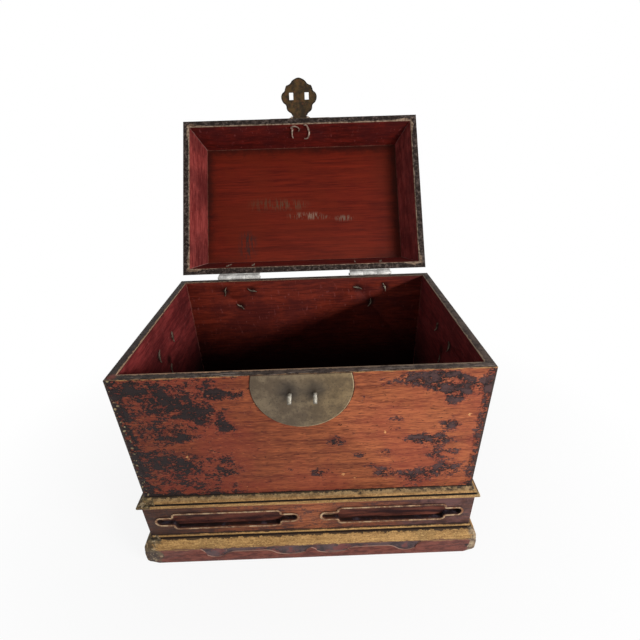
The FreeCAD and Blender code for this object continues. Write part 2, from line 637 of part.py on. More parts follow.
def case_leaf(label, hinge):
    """Leaf on the back board with the two outer knuckles and the lug that stops the lid."""
    body = new_body(label)
    plate = draw(new_sketch(body, "XZ_Plane"),
                 leaf_outline("-leaf_gap", "-case_leaf_side", "-case_leaf"))
    pad(body, plate, "plate_thick")
    barrel = draw_circle(new_sketch(body, "YZ_Plane"), "-pin_offset", "0", "hinge_radius")
    pad(body, barrel, "hinge_width", both_ways=True)
    web = draw(new_sketch(body, "YZ_Plane"), rectangle("-pin_offset", "0", "-hinge_radius", "-leaf_gap"))
    pad(body, web, "hinge_width", both_ways=True)
    droop = "(lid_open - 90 - lid_slope)"
    top = "(pin_offset * cos(lid_slope) - plate_thick - stop_gap)"
    root = f"({top} - lug_thick)"

    def lug_corner(height, along):
        return (f"-(pin_offset + {height} * sin{droop} + {along} * cos{droop})",
                f"{height} * cos{droop} - {along} * sin{droop}")

    lug = [lug_corner(top, "0"), lug_corner(top, "lug_length"), lug_corner(root, "lug_length"),
           lug_corner(root, "0")]
    pad(body, draw(new_sketch(body, "YZ_Plane"), lug), "hinge_width", both_ways=True)
    middle = draw(new_sketch(body, "YZ_Plane"),
                  rectangle("-(pin_offset + 2 * lug_length)", "-plate_thick",
                            "-2 * hinge_radius", "2 * hinge_radius"))
    pocket(body, middle, "hinge_knuckle + 2 * side_gap", both_ways=True)
    bore = draw_circle(new_sketch(body, "YZ_Plane"), "-pin_offset", "0", "hinge_pin + run_gap")
    cut_through(body, bore)
    cut_holes(body, LEAF_PINS)
    finish(body, on_case(BACK, "rim_height", hinge))


def lid_leaf(label, hinge):
    """Leaf on the slope of the lid with the middle knuckle."""
    body = new_body(label)
    plate = draw(new_sketch(body, "XZ_Plane", tilted=True),
                 leaf_outline("leaf_gap", "lid_leaf_side", "lid_leaf"))
    pad(body, plate, "plate_thick")
    barrel = draw_circle(new_sketch(body, "YZ_Plane"), "-pin_offset", "0", "hinge_radius")
    pad(body, barrel, "hinge_knuckle", both_ways=True)
    rise = "leaf_gap * cos(lid_slope)"
    web = [("leaf_gap * sin(lid_slope)", rise),
           ("web_reach * sin(lid_slope)", "web_reach * cos(lid_slope)"),
           ("web_reach * sin(lid_slope) - plate_thick * cos(lid_slope)",
            "web_reach * cos(lid_slope) + plate_thick * sin(lid_slope)"),
           ("-pin_offset", "hinge_radius"), ("-pin_offset", rise)]
    pad(body, draw(new_sketch(body, "YZ_Plane"), web), "hinge_knuckle", both_ways=True)
    bore = draw_circle(new_sketch(body, "YZ_Plane"), "-pin_offset", "0", "hinge_pin + run_gap")
    cut_through(body, bore)
    cut_holes(body, LID_PINS, tilted=True)
    finish(body, on_lid(BACK, "0", hinge))


def hinge_pin(label, hinge):
    body = new_body(label)
    section = draw_circle(new_sketch(body, "YZ_Plane"), "-pin_offset", "0", "hinge_pin")
    pad(body, section, "hinge_width + 2 * pin_tail", both_ways=True)
    finish(body, on_case(BACK, "rim_height", hinge))


def hinges():
    for name, hinge in HINGES.items():
        case_leaf(f"{name}_hinge_case_leaf", hinge)
        lid_leaf(f"{name}_hinge_lid_leaf", hinge)
        hinge_pin(f"{name}_hinge_pin", hinge)
    master = headed_cotter("leaf_cotter", "plate_thick", "board_thick")
    slope_master = headed_cotter("slope_cotter", "plate_thick", "lid_wall * cos(lid_slope)")
    doc.recompute()
    places = [on_case(BACK, z, x) for x, z in CASE_LEAF_PINS]
    group("case_hinge_cotters", master,
          [turned_about_shank(place, turn) for place, turn in zip(places, LEG_TURNS)])
    lean = FreeCAD.Rotation(X_AXIS, -size("lid_slope"))
    places = []
    for x, rise in LID_LEAF_PINS:
        base = on_lid(BACK, "0", x).multiply(FreeCAD.Placement(FreeCAD.Vector(), lean))
        places.append(base.multiply(FreeCAD.Placement(Z_AXIS * size(rise), FreeCAD.Rotation())))
    group("lid_hinge_cotters", slope_master, places)


# ---------------------------------------------------------------- drop handles

HANDLES = {"left": LEFT, "right": RIGHT}


def handle_plate(label, side):
    """Back plate: a straight head between rounded shoulders, swept in to a round foot."""
    body = new_body(label)
    low = "-(handle_pin_drop - bail_level)"
    top = "bail_level - handle_top"
    path = [("handle_half - handle_round", top), ("handle_half", f"{top} - handle_round",
                                                 "handle_round", "left"),
            ("handle_half", f"{top} - handle_side"),
            ("handle_foot", low, "handle_sweep", "right"),
            ("0", f"{low} - handle_foot", "handle_foot", "left"),
            ("-handle_foot", low, "handle_foot", "left"),
            ("-handle_half", f"{top} - handle_side", "handle_sweep", "right"),
            ("-handle_half", f"{top} - handle_round"),
            ("-(handle_half - handle_round)", top, "handle_round", "left")]
    pad(body, draw(new_sketch(body, "XZ_Plane"), path), "plate_thick")
    cut_slots(body, [(x, "0") for x in POST_PAIR], COTTER_SLOT_WIDE, COTTER_SLOT_TALL)
    cut_holes(body, [("0", low)])
    finish(body, on_case(side, "rim_height - bail_level"))


def rod_bend(body, plane, offset, centre, axis_ends):
    """Quarter turn of the rod's section about a line of its own sketch."""
    sketch = draw_flats(new_sketch(body, plane, offset), centre[0], centre[1], "bail_radius")
    start, end = [FreeCAD.Vector(size(x), size(y), 0) for x, y in axis_ends]
    line = sketch.addGeometry(Part.LineSegment(start, end), True)
    pin_point(sketch, line, 1, *axis_ends[0])
    pin_point(sketch, line, 2, *axis_ends[1])
    bend = body.newObject("PartDesign::Revolution", f"{body.Label}_bend")
    bend.Profile = sketch
    bend.ReferenceAxis = (sketch, ["Axis0"])
    bend.Angle = 90
    bend.Reversed = True
    return bend


def bail(label, side):
    """Forged rod with eight flats: each end passes through its post, and the arms bend down and
    then in to the grip."""
    body = new_body(label)
    out, wide, low = f"-{POST_OUT}", "bail_wide / 2", "(bail_drop - bail_bend)"
    end = "(post_spacing / 2 - bail_tail)"
    tail = draw_flats(new_sketch(body, "YZ_Plane", end), out, "0", "bail_radius")
    features = [pad(body, tail, f"{wide} - bail_corner - {end}")]
    features.append(rod_bend(body, "YZ_Plane", f"{wide} - bail_corner", (out, "0"),
                             [("0", "-bail_corner"), (out, "-bail_corner")]))
    arm = draw_flats(new_sketch(body, "XY_Plane", "-bail_corner"), wide, out, "bail_radius")
    features.append(pad(body, arm, f"{low} - bail_corner", back_way=True))
    inner = f"{wide} - bail_bend"
    features.append(rod_bend(body, "XY_Plane", f"-{low}", (wide, out), [(inner, "0"), (inner, out)]))
    grip = draw_flats(new_sketch(body, "YZ_Plane", inner), out, "-bail_drop", "bail_radius")
    features.append(pad(body, grip, inner, back_way=True))
    other = body.newObject("PartDesign::Mirrored", f"{label}_other_arm")
    other.Originals = features
    other.MirrorPlane = ([part for part in body.Origin.OriginFeatures if part.Role == "YZ_Plane"][0],
                         [""])
    body.Tip = other
    finish(body, on_case(side, "rim_height - bail_level"))


def handles():
    for name, side in HANDLES.items():
        handle_plate(f"{name}_handle_plate", side)
        bail(f"{name}_bail", side)
    post = eye_cotter("bail_post", POST_OUT, "post_eye", "bail_radius + run_gap", "cotter_wide",
                      "cotter_shank", "board_thick", "post_leg")
    stud = headed_cotter("plate_cotter", "plate_thick", "board_thick")
    doc.recompute()
    group("handle_posts", post, [on_case(side, "rim_height - bail_level", x)
                                 for side in HANDLES.values() for x in POST_PAIR])
    group("handle_plate_cotters", stud,
          [on_case(side, "rim_height - handle_pin_drop") for side in HANDLES.values()])


# ---------------------------------------------------------------- the whole box

pin_board("front_board", FRONT)
pin_board("back_board", BACK)
tail_board("left_board", LEFT)
tail_board("right_board", RIGHT)
floor_board()
plinth()
lid_boards()
lock_plates()
staples()
hasp_rod_and_cotters()
hasp()
hinges()
handles()
doc.recompute()

for item in doc.Objects:
    if "Invalid" in item.State or "Error" in item.State:
        raise RuntimeError(f"{item.Label} did not compute: {item.State}")
os.makedirs("parts", exist_ok=True)
for node in nodes:
    if node.Shape.isNull() or not node.Shape.isValid():
        raise RuntimeError(f"{node.Label} has no valid shape")
    node.Shape.exportStep(f"parts/{node.Label}.step")
print(f"{len(nodes)} nodes written")
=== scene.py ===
import json
import math
import bmesh
import bpy
from mathutils import Matrix, Vector, noise


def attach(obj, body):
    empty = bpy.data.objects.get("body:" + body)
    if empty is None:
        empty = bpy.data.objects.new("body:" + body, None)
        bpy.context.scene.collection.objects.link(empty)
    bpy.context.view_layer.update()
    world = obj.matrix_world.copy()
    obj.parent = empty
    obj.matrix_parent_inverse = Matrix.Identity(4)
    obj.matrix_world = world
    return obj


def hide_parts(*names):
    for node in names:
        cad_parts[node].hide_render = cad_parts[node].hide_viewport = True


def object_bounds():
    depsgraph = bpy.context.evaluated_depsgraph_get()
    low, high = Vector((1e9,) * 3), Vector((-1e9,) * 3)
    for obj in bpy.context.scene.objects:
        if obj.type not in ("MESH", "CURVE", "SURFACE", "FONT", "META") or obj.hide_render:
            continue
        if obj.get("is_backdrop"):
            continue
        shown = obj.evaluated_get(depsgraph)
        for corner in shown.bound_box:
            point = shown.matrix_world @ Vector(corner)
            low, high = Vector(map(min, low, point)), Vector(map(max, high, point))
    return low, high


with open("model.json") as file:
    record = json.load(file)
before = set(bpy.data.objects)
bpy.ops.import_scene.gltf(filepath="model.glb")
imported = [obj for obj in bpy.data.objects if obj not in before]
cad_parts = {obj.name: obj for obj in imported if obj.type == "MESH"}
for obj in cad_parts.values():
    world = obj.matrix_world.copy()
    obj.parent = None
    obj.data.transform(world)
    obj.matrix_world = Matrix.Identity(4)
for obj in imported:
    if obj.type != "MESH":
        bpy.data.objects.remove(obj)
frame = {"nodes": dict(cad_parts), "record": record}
cad_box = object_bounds()

# Camera. It stands in front of the box, a little lower than the top of the open lid, and looks
# down into the case through a wide lens. The view is turned a little about its own axis.
camera_place = (0.0183, -0.4518, 0.5140)
film_width = 36
lens_length = 21.554
nearest_seen = 0.01
yaw, pitch, roll = math.radians(0.445), math.radians(27.751), math.radians(-1.776)
look = Vector((math.sin(yaw) * math.cos(pitch), math.cos(yaw) * math.cos(pitch), -math.sin(pitch)))
level = Vector((math.cos(yaw), -math.sin(yaw), 0))
above = level.cross(look)
across = level * math.cos(roll) + above * math.sin(roll)
upright = above * math.cos(roll) - level * math.sin(roll)
turn = Matrix((across, upright, -look)).transposed().to_4x4()
camera = bpy.data.objects.new("camera", bpy.data.cameras.new("camera"))
bpy.context.collection.objects.link(camera)
camera.data.sensor_width = film_width
camera.data.lens = lens_length
camera.data.clip_start = nearest_seen
camera.matrix_world = Matrix.Translation(camera_place) @ turn
bpy.context.scene.camera = camera
bpy.context.scene.view_settings.view_transform = "Standard"

# Studio. A pale floor that goes on into white, a narrow soft lamp at the upper right that throws
# the slanting shade inside the case, a weaker one at the left front, and an even pale sky.
sky_tone = (0.92, 0.95, 1.0)
sky_strength = 0.22
card_tone = (0.9, 0.9, 0.9)
shaded_to = 0.2
white_from = 0.6
whiteness_near = 0.88
floor_half = 9
floor_drop = 0.0004


def paint(red, green, blue):
    """Linear colour of a screen colour with channels from 0 to 255."""
    return tuple(((c / 255 + 0.055) / 1.055) ** 2.4 if c > 10 else c / 3295 for c in (red, green, blue))


def feed(tree, source, socket):
    """Link a socket, or set a plain number or colour. None leaves the input as it is."""
    if isinstance(source, bpy.types.NodeSocket):
        tree.links.new(source, socket)
    elif source is not None:
        if socket.type == "RGBA" and len(source) == 3:
            source = (*source, 1)
        socket.default_value = source


def new_node(tree, kind, *links, **settings):
    """A shader node with its settings, and its first inputs linked or set in order."""
    made = tree.nodes.new(f"ShaderNode{kind}")
    for name, value in settings.items():
        setattr(made, name, value)
    for socket, source in zip(made.inputs, links):
        feed(tree, source, socket)
    return made


def new_material(name):
    material = bpy.data.materials.new(name)
    material.use_nodes = True
    material.node_tree.nodes.clear()
    return material, material.node_tree


def seen_directly(tree):
    """1 for rays from the camera, a gloss or a glass, which show the studio as white."""
    path = new_node(tree, "LightPath").outputs
    first = new_node(tree, "Math", path["Is Camera Ray"], path["Is Glossy Ray"], operation="MAXIMUM")
    seen = new_node(tree, "Math", first.outputs[0], path["Is Transmission Ray"], operation="MAXIMUM")
    return seen.outputs[0]


world = bpy.data.worlds.new("studio")
bpy.context.scene.world = world
world.use_nodes = True
world.node_tree.nodes.clear()
tree = world.node_tree
sky = new_node(tree, "Background", sky_tone, sky_strength)
white = new_node(tree, "Background", (1, 1, 1), 1.0)
whole = new_node(tree, "MixShader", seen_directly(tree), sky.outputs[0], white.outputs[0])
new_node(tree, "OutputWorld", whole.outputs[0])

floor_material, tree = new_material("studio_floor")
place = new_node(tree, "TexCoord").outputs["Object"]
distance = new_node(tree, "VectorMath", place, operation="LENGTH").outputs["Value"]
fade = new_node(tree, "MapRange", distance, shaded_to, white_from, whiteness_near, 1.0).outputs[0]
glow = new_node(tree, "Math", fade, seen_directly(tree), operation="MULTIPLY").outputs[0]
card = new_node(tree, "BsdfDiffuse", card_tone)
light_card = new_node(tree, "Emission", (1, 1, 1), 1.0)
whole = new_node(tree, "MixShader", glow, card.outputs[0], light_card.outputs[0])
new_node(tree, "OutputMaterial", whole.outputs[0])
floor_mesh = bpy.data.meshes.new("studio_floor")
floor_corners = [(x * floor_half, y * floor_half, 0) for x, y in ((-1, -1), (1, -1), (1, 1), (-1, 1))]
floor_mesh.from_pydata(floor_corners, [], [(0, 1, 2, 3)])
floor_mesh.materials.append(floor_material)
studio_floor = bpy.data.objects.new("studio_floor", floor_mesh)
bpy.context.collection.objects.link(studio_floor)
studio_floor.location.z = -floor_drop
studio_floor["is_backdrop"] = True

for name, spot, aim, watts, wide, tall in (
        ("key_lamp", (1.19, -1.08, 0.69), (-1, 0, -0.4), 30, 0.8, 0.14),
        ("fill_lamp", (-0.9, -1.3, 0.9), (0.9, 1.3, -0.65), 2, 1.1, 1.1)):
    lamp = bpy.data.lights.new(name, "AREA")
    lamp.shape = "RECTANGLE"
    lamp.energy = watts
    lamp.size = wide
    lamp.size_y = tall
    holder = bpy.data.objects.new(name, lamp)
    bpy.context.collection.objects.link(holder)
    holder.location = spot
    holder.rotation_euler = Vector(aim).to_track_quat("-Z", "Y").to_euler()

# Case boards. Four softwood boards joined at the corners by through dovetails, then grounded and
# lacquered: cinnabar outside over a dark coat that still hangs on in ragged islands, crimson
# inside, and bare, handled wood on the rim.
half_width = 0.2
half_depth = 0.134
case_height = 0.286
board = 0.010
inner_half_width = half_width - board
inner_half_depth = half_depth - board


def maths(tree, operation, first, second=None, third=None):
    return new_node(tree, "Math", first, second, third, operation=operation).outputs[0]


def times(tree, first, second):
    return maths(tree, "MULTIPLY", first, second)


def minus(tree, first, second):
    return maths(tree, "SUBTRACT", first, second)


def larger(tree, first, second):
    return maths(tree, "MAXIMUM", first, second)


def add_scaled(tree, base, value, factor):
    """The base and a factor times the value."""
    return maths(tree, "MULTIPLY_ADD", value, factor, base)


def beyond(tree, value, level):
    """How far a value lies under a level."""
    return minus(tree, level, value)


def ease(tree, value, low, high):
    """0 below low, 1 above high, smooth in between. With low above high it falls."""
    if low > high:
        return minus(tree, 1.0, ease(tree, value, high, low))
    made = new_node(tree, "MapRange", value, low, high, 0.0, 1.0, interpolation_type="SMOOTHSTEP")
    return made.outputs[0]


def blend(tree, share, under, over):
    """Colour that goes from under to over as share goes from 0 to 1."""
    made = new_node(tree, "Mix", data_type="RGBA")
    feed(tree, share, made.inputs["Factor"])
    feed(tree, under, made.inputs[6])
    feed(tree, over, made.inputs[7])
    return made.outputs[2]


def tint(tree, share, strength, under, over):
    """Over laid on under by a share, at most at this strength."""
    return blend(tree, times(tree, share, strength), under, over)


def slide(tree, share, under, over):
    """Number that goes from under to over as share goes from 0 to 1."""
    made = new_node(tree, "Mix", data_type="FLOAT")
    feed(tree, share, made.inputs["Factor"])
    feed(tree, under, made.inputs[2])
    feed(tree, over, made.inputs[3])
    return made.outputs[0]


def stretched(tree, place, x, y, z):
    return new_node(tree, "VectorMath", place, (x, y, z), operation="MULTIPLY").outputs[0]


def noise_value(tree, place, scale, detail=4.0, rough=0.6):
    """Noise of one scale, or of a scale each along x, y and z."""
    if isinstance(scale, tuple):
        place = stretched(tree, place, *scale)
        scale = 1.0
    made = new_node(tree, "TexNoise", place)
    made.inputs["Scale"].default_value = scale
    made.inputs["Detail"].default_value = detail
    made.inputs["Roughness"].default_value = rough
    return made.outputs["Fac"]


def flecks(tree, place, scale, detail, rough, low, high):
    """1 where the noise passes high, and 0 where it stays under low."""
    return ease(tree, noise_value(tree, place, scale, detail, rough), low, high)


def cloudy(tree, place, scale, low, high, first=0.4, last=0.6):
    """Two colours in drifting clouds."""
    return blend(tree, flecks(tree, place, scale, 6.0, 0.7, first, last), low, high)


def start_group(name, inputs, outputs):
    """Empty shader group with these sockets. It gives the tree, its inputs and its output node."""
    group = bpy.data.node_groups.new(name, "ShaderNodeTree")
    for label, kind in inputs:
        group.interface.new_socket(label, in_out="INPUT", socket_type=f"NodeSocket{kind}")
    for label, kind in outputs:
        group.interface.new_socket(label, in_out="OUTPUT", socket_type=f"NodeSocket{kind}")
    entry = group.nodes.new("NodeGroupInput")
    return group, entry.outputs, group.nodes.new("NodeGroupOutput").inputs


def use_group(tree, group, *links):
    made = tree.nodes.new("ShaderNodeGroup")
    made.node_tree = group
    for socket, source in zip(made.inputs, links):
        feed(tree, source, socket)
    return made.outputs


# grain: brushed streaks that follow the wood, fine ridges between them, and short dark strokes
grain, given, out = start_group("grain", [("Place", "Vector"), ("Fineness", "Float")],
                                [("Tone", "Float"), ("Ridge", "Float"), ("Line", "Float")])
broad = noise_value(grain, given["Place"], (12, 12, 150), 5.0, 0.65)
sized = new_node(grain, "VectorMath", given["Place"], operation="SCALE")
feed(grain, given["Fineness"], sized.inputs["Scale"])
fine = noise_value(grain, sized.outputs[0], (75, 75, 760), 3.0, 0.6)
dash = noise_value(grain, sized.outputs[0], (120, 120, 430), 3.0, 0.6)
feed(grain, add_scaled(grain, times(grain, broad, 0.5), fine, 0.5), out["Tone"])
feed(grain, fine, out["Ridge"])
feed(grain, ease(grain, dash, 0.6, 0.68), out["Line"])

# remnant: ragged islands of an older coat, torn through in small spots, with a rim that takes a stain and
# painted highlights
remnant, given, out = start_group("remnant", [("Place", "Vector"), ("Cover", "Float")],
                                  [("Island", "Float"), ("Rim", "Float"), ("Body", "Float")])
shaped = stretched(remnant, given["Place"], 1.0, 1.0, 1.6)
lumps = noise_value(remnant, shaped, 66, 8.0, 0.70)
torn = noise_value(remnant, shaped, 300, 6.0, 0.8)
mixed = add_scaled(remnant, times(remnant, lumps, 0.5), torn, 0.5)
level_in = add_scaled(remnant, mixed, given["Cover"], 0.42)
feed(remnant, ease(remnant, level_in, 0.694, 0.706), out["Island"])
feed(remnant, ease(remnant, level_in, 0.645, 0.69), out["Rim"])
feed(remnant, lumps, out["Body"])

# speck: small chips or pits of torn shape, each in its own cell and only in some of them
speck, given, out = start_group("speck", [("Place", "Vector"), ("Scale", "Float"), ("Share", "Float")],
                                [("Spot", "Float")])
ripple = new_node(speck, "TexNoise", given["Place"])
ripple.inputs["Scale"].default_value = 420
shift = new_node(speck, "VectorMath", ripple.outputs["Color"], operation="SCALE")
shift.inputs["Scale"].default_value = 0.008
torn_place = new_node(speck, "VectorMath", given["Place"], shift.outputs[0], operation="ADD").outputs[0]
cells = new_node(speck, "TexVoronoi", torn_place)
feed(speck, given["Scale"], cells.inputs["Scale"])
pick = new_node(speck, "SeparateColor", cells.outputs["Color"]).outputs
chosen = maths(speck, "LESS_THAN", pick[0], given["Share"])
wide = add_scaled(speck, 0.08, pick[1], 0.22)
inside_spot = maths(speck, "LESS_THAN", cells.outputs["Distance"], wide)
feed(speck, times(speck, chosen, inside_spot), out["Spot"])

# rub: wear that eats unevenly inwards from an edge
rub, given, out = start_group("rub", [("Place", "Vector"), ("Distance", "Float"), ("Reach", "Float")],
                              [("Worn", "Float")])
wander = add_scaled(rub, -1.0, noise_value(rub, given["Place"], 110, 6.0, 0.75), 3.4)
eaten = times(rub, wander, given["Reach"])
feed(rub, ease(rub, minus(rub, eaten, given["Distance"]), 0.0, 0.0004), out["Worn"])


def streaks(tree, strand, low, high, first=0.38, last=0.62):
    """Two colours in the streaks of the grain."""
    return blend(tree, ease(tree, strand["Tone"], first, last), low, high)


def chips(tree, place, scale, share):
    return use_group(tree, speck, place, scale, share)["Spot"]


def worn(tree, place, distance, reach):
    """1 where the wear of an edge has come as far as a point at this distance from it."""
    return use_group(tree, rub, place, distance, reach)["Worn"]


def principled(tree, colour, rough, height=None, lift=0.0003, metal=None, gloss=0.2):
    """Surface of a material, with a bump of this lift in metres."""
    made = new_node(tree, "BsdfPrincipled")
    feed(tree, colour, made.inputs["Base Color"])
    feed(tree, rough, made.inputs["Roughness"])
    feed(tree, metal, made.inputs["Metallic"])
    made.inputs["Specular IOR Level"].default_value = gloss
    if height is not None:
        bump = new_node(tree, "Bump")
        bump.inputs["Distance"].default_value = lift
        feed(tree, height, bump.inputs["Height"])
        feed(tree, bump.outputs[0], made.inputs["Normal"])
    new_node(tree, "OutputMaterial", made.outputs[0])


def spot_on(tree, kind="Object"):
    """A point of the box, or with Normal the way its face looks, whole and as x, y and z."""
    whole = new_node(tree, "TexCoord").outputs[kind]
    return whole, new_node(tree, "SeparateXYZ", whole).outputs


def halves(tree, part):
    """How far a point lies from the middle of the box, to a side and in depth."""
    return maths(tree, "ABSOLUTE", part[0]), maths(tree, "ABSOLUTE", part[1])


def to_corner(tree, half, grown=0.0):
    """Gap along a wall to the next corner of the case, grown by this much on every side."""
    return larger(tree, beyond(tree, half[0], half_width + grown), beyond(tree, half[1], half_depth + grown))


def out_of_walls(tree, half, grown=0.0):
    """How far a point stands out of the walls of the case, grown by this much on every side."""
    return larger(tree, minus(tree, half[0], half_width + grown), minus(tree, half[1], half_depth + grown))


def distance_to(tree, place, spot):
    return new_node(tree, "VectorMath", place, spot, operation="DISTANCE").outputs["Value"]


def near(tree, place, x, y, z, radius, squash=None):
    """1 at a point, falling to 0 at the radius, which each ratio of squash divides on its axis."""
    if squash:
        place = stretched(tree, place, *squash)
        x, y, z = x * squash[0], y * squash[1], z * squash[2]
    return ease(tree, distance_to(tree, place, (x, y, z)), radius, radius * 0.2)


def outer_lacquer(tree, place, islands, cover):
    """Colour, roughness and height of the outside: cinnabar, dark remnants with painted highlights along
    their rims, chips and strokes.

    Each of the islands is an x, a z, a radius and how much more of the old coat stays there."""
    strand = use_group(tree, grain, place, 1.0)
    away = ease(tree, new_node(tree, "SeparateXYZ", place).outputs[0], 0.10, -0.14)
    red = streaks(tree, strand, blend(tree, away, paint(104, 52, 36), paint(86, 40, 30)),
                  blend(tree, away, paint(170, 97, 60), paint(134, 68, 43)))
    red = tint(tree, flecks(tree, place, 13, 4.0, 0.6, 0.42, 0.62), 0.45, red, paint(132, 56, 44))
    red = tint(tree, strand["Line"], 0.75, red, paint(66, 33, 27))
    thin = flecks(tree, place, (90, 90, 900), 2.0, 0.5, 0.6, 0.7)
    red = tint(tree, thin, 0.5, red, paint(198, 118, 74))
    amount = cover
    for x, z, radius, much in islands:
        amount = add_scaled(tree, amount, near(tree, place, x, -half_depth, z, radius, (1.0, 1.0, 1.5)), much)
    old = use_group(tree, remnant, place, maths(tree, "MINIMUM", amount, 0.56))
    red = tint(tree, old["Rim"], 0.55, red, paint(128, 60, 52))
    # painted highlights: pale flecks along the rims of the islands
    fleck = flecks(tree, stretched(tree, place, 1, 1, 1.8), 230, 3.0, 0.5, 0.60, 0.64)
    red = tint(tree, times(tree, fleck, old["Rim"]), 0.45, red, paint(188, 128, 92))
    umber = blend(tree, ease(tree, old["Body"], 0.45, 0.62), paint(27, 22, 22),
                  blend(tree, away, paint(76, 54, 53), paint(42, 32, 32)))
    shade = blend(tree, old["Island"], red, umber)
    shade = tint(tree, chips(tree, place, 130.0, 0.03), 0.8, shade, paint(206, 148, 96))
    shade = tint(tree, chips(tree, place, 210.0, 0.06), 0.75, shade, paint(48, 28, 24))
    rough = slide(tree, old["Island"], 0.62, 0.55)
    height = add_scaled(tree, times(tree, strand["Ridge"], 0.6), old["Island"], 0.55)
    return shade, rough, height


def inner_lacquer(tree, place, low, high):
    """Colour and height of the inside coat, brushed along the board."""
    strand = use_group(tree, grain, place, 0.7)
    shade = streaks(tree, strand, low, high)
    shade = tint(tree, flecks(tree, place, 16, 5.0, 0.65, 0.6, 0.38), 0.55, shade, paint(62, 20, 22))
    scuff = flecks(tree, place, (260, 260, 90), 4.0, 0.7, 0.6, 0.7)
    return tint(tree, scuff, 0.35, shade, paint(168, 96, 92)), strand["Ridge"]


case_lacquer, tree = new_material("case_lacquer")
place, part = spot_on(tree)
facing = spot_on(tree, "Normal")[1]
half = halves(tree, part)
rim_gap = beyond(tree, part[2], case_height)
side_gap = to_corner(tree, half)

# outside: the old coat hangs on in islands, most on the left, by the corners and over the ledge
front_islands = [(-0.168, 0.272, 0.028, 0.26), (-0.148, 0.252, 0.030, 0.24), (-0.120, 0.243, 0.030, 0.16),
                 (-0.091, 0.264, 0.016, 0.30), (-0.068, 0.264, 0.013, 0.30), (-0.100, 0.232, 0.024, 0.16),
                 (-0.084, 0.220, 0.016, 0.24), (-0.145, 0.212, 0.030, 0.08), (-0.132, 0.204, 0.016, 0.12),
                 (-0.178, 0.172, 0.034, 0.10), (-0.142, 0.163, 0.030, 0.12), (-0.165, 0.148, 0.034, 0.06),
                 (-0.092, 0.170, 0.016, 0.18), (-0.092, 0.147, 0.014, 0.20), (-0.120, 0.190, 0.040, -0.12),
                 (-0.070, 0.196, 0.030, -0.10), (-0.060, 0.240, 0.012, 0.12), (-0.020, 0.150, 0.014, 0.18),
                 (0.143, 0.272, 0.036, 0.48), (0.168, 0.264, 0.034, 0.44), (0.112, 0.276, 0.024, 0.34),
                 (0.160, 0.246, 0.018, 0.40), (0.150, 0.190, 0.032, 0.36), (0.162, 0.212, 0.020, 0.38),
                 (0.124, 0.192, 0.022, 0.34), (0.093, 0.139, 0.026, 0.34), (0.129, 0.131, 0.034, 0.38),
                 (0.164, 0.142, 0.036, 0.34), (0.150, 0.166, 0.022, 0.34), (0.036, 0.192, 0.020, 0.37),
                 (0.015, 0.143, 0.020, 0.37), (0.062, 0.169, 0.012, 0.32), (0.091, 0.170, 0.018, 0.30),
                 (0.086, 0.272, 0.018, 0.24), (0.066, 0.250, 0.014, 0.22), (0.100, 0.222, 0.016, 0.22),
                 (0.105, 0.205, 0.012, 0.24), (0.074, 0.152, 0.014, 0.26), (0.170, 0.170, 0.016, 0.24)]
ledge_bottom = 0.099
ledge_top = 0.111
drift = add_scaled(tree, part[0], noise_value(tree, place, 24), 0.12)
cover = add_scaled(tree, 0.17, ease(tree, drift, 0.02, -0.05), 0.26)
cover = add_scaled(tree, cover, ease(tree, side_gap, 0.018, 0.004), 0.32)
cover = add_scaled(tree, cover, ease(tree, part[2], ledge_top + 0.009, ledge_top), 0.16)
outside, outside_rough, outside_height = outer_lacquer(tree, place, front_islands, cover)

# dirt round the lock plate, along the corners and over the ledge, curls of pale ground by the
# corner on the left, and the rim's edge rubbed golden to both sides of the plate
plate_height = 0.270
plate_radius = 0.0534
plate_gap = minus(tree, distance_to(tree, place, (0, -half_depth, plate_height)), plate_radius)
outside = tint(tree, worn(tree, place, plate_gap, 0.0016), 0.8, outside, paint(30, 20, 17))
outside = tint(tree, worn(tree, place, side_gap, 0.0034), 0.85, outside, paint(58, 48, 43))
curl = times(tree, flecks(tree, place, 240, 3.0, 0.5, 0.60, 0.64), ease(tree, side_gap, 0.010, 0.004))
curl = times(tree, curl, ease(tree, part[0], 0.0, -0.1))
outside = tint(tree, curl, 0.8, outside, paint(176, 156, 118))
ledge_dirt = worn(tree, place, minus(tree, part[2], ledge_top), 0.0020)
outside = tint(tree, ledge_dirt, 0.9, outside, paint(28, 20, 18))
golden = times(tree, worn(tree, place, rim_gap, 0.0014), flecks(tree, place, 60, 4.0, 0.6, 0.42, 0.52))
golden = times(tree, golden, ease(tree, half[0], 0.052, 0.056))
outside = tint(tree, golden, 0.9, outside, paint(180, 132, 84))

# under the ledge: the wall that shows through the waist's openings, with painted light in two of the lobes
recess = ease(tree, part[2], ledge_bottom + 0.005, ledge_bottom + 0.001)
outside = blend(tree, recess, outside, cloudy(tree, stretched(tree, place, 1, 1, 9), 16, paint(44, 24, 24),
                                              paint(104, 58, 46)))
# painted light: a pale tan pool in two of the lobes, which lie in shade
for x, z in ((-0.184, 0.059), (0.022, 0.0645)):
    lit = times(tree, near(tree, place, x, -half_depth, z, 0.013, (1.0, 1.0, 1.3)), recess)
    outside = tint(tree, lit, 0.75, outside,
                   cloudy(tree, place, 140, paint(110, 84, 62), paint(176, 148, 116)))
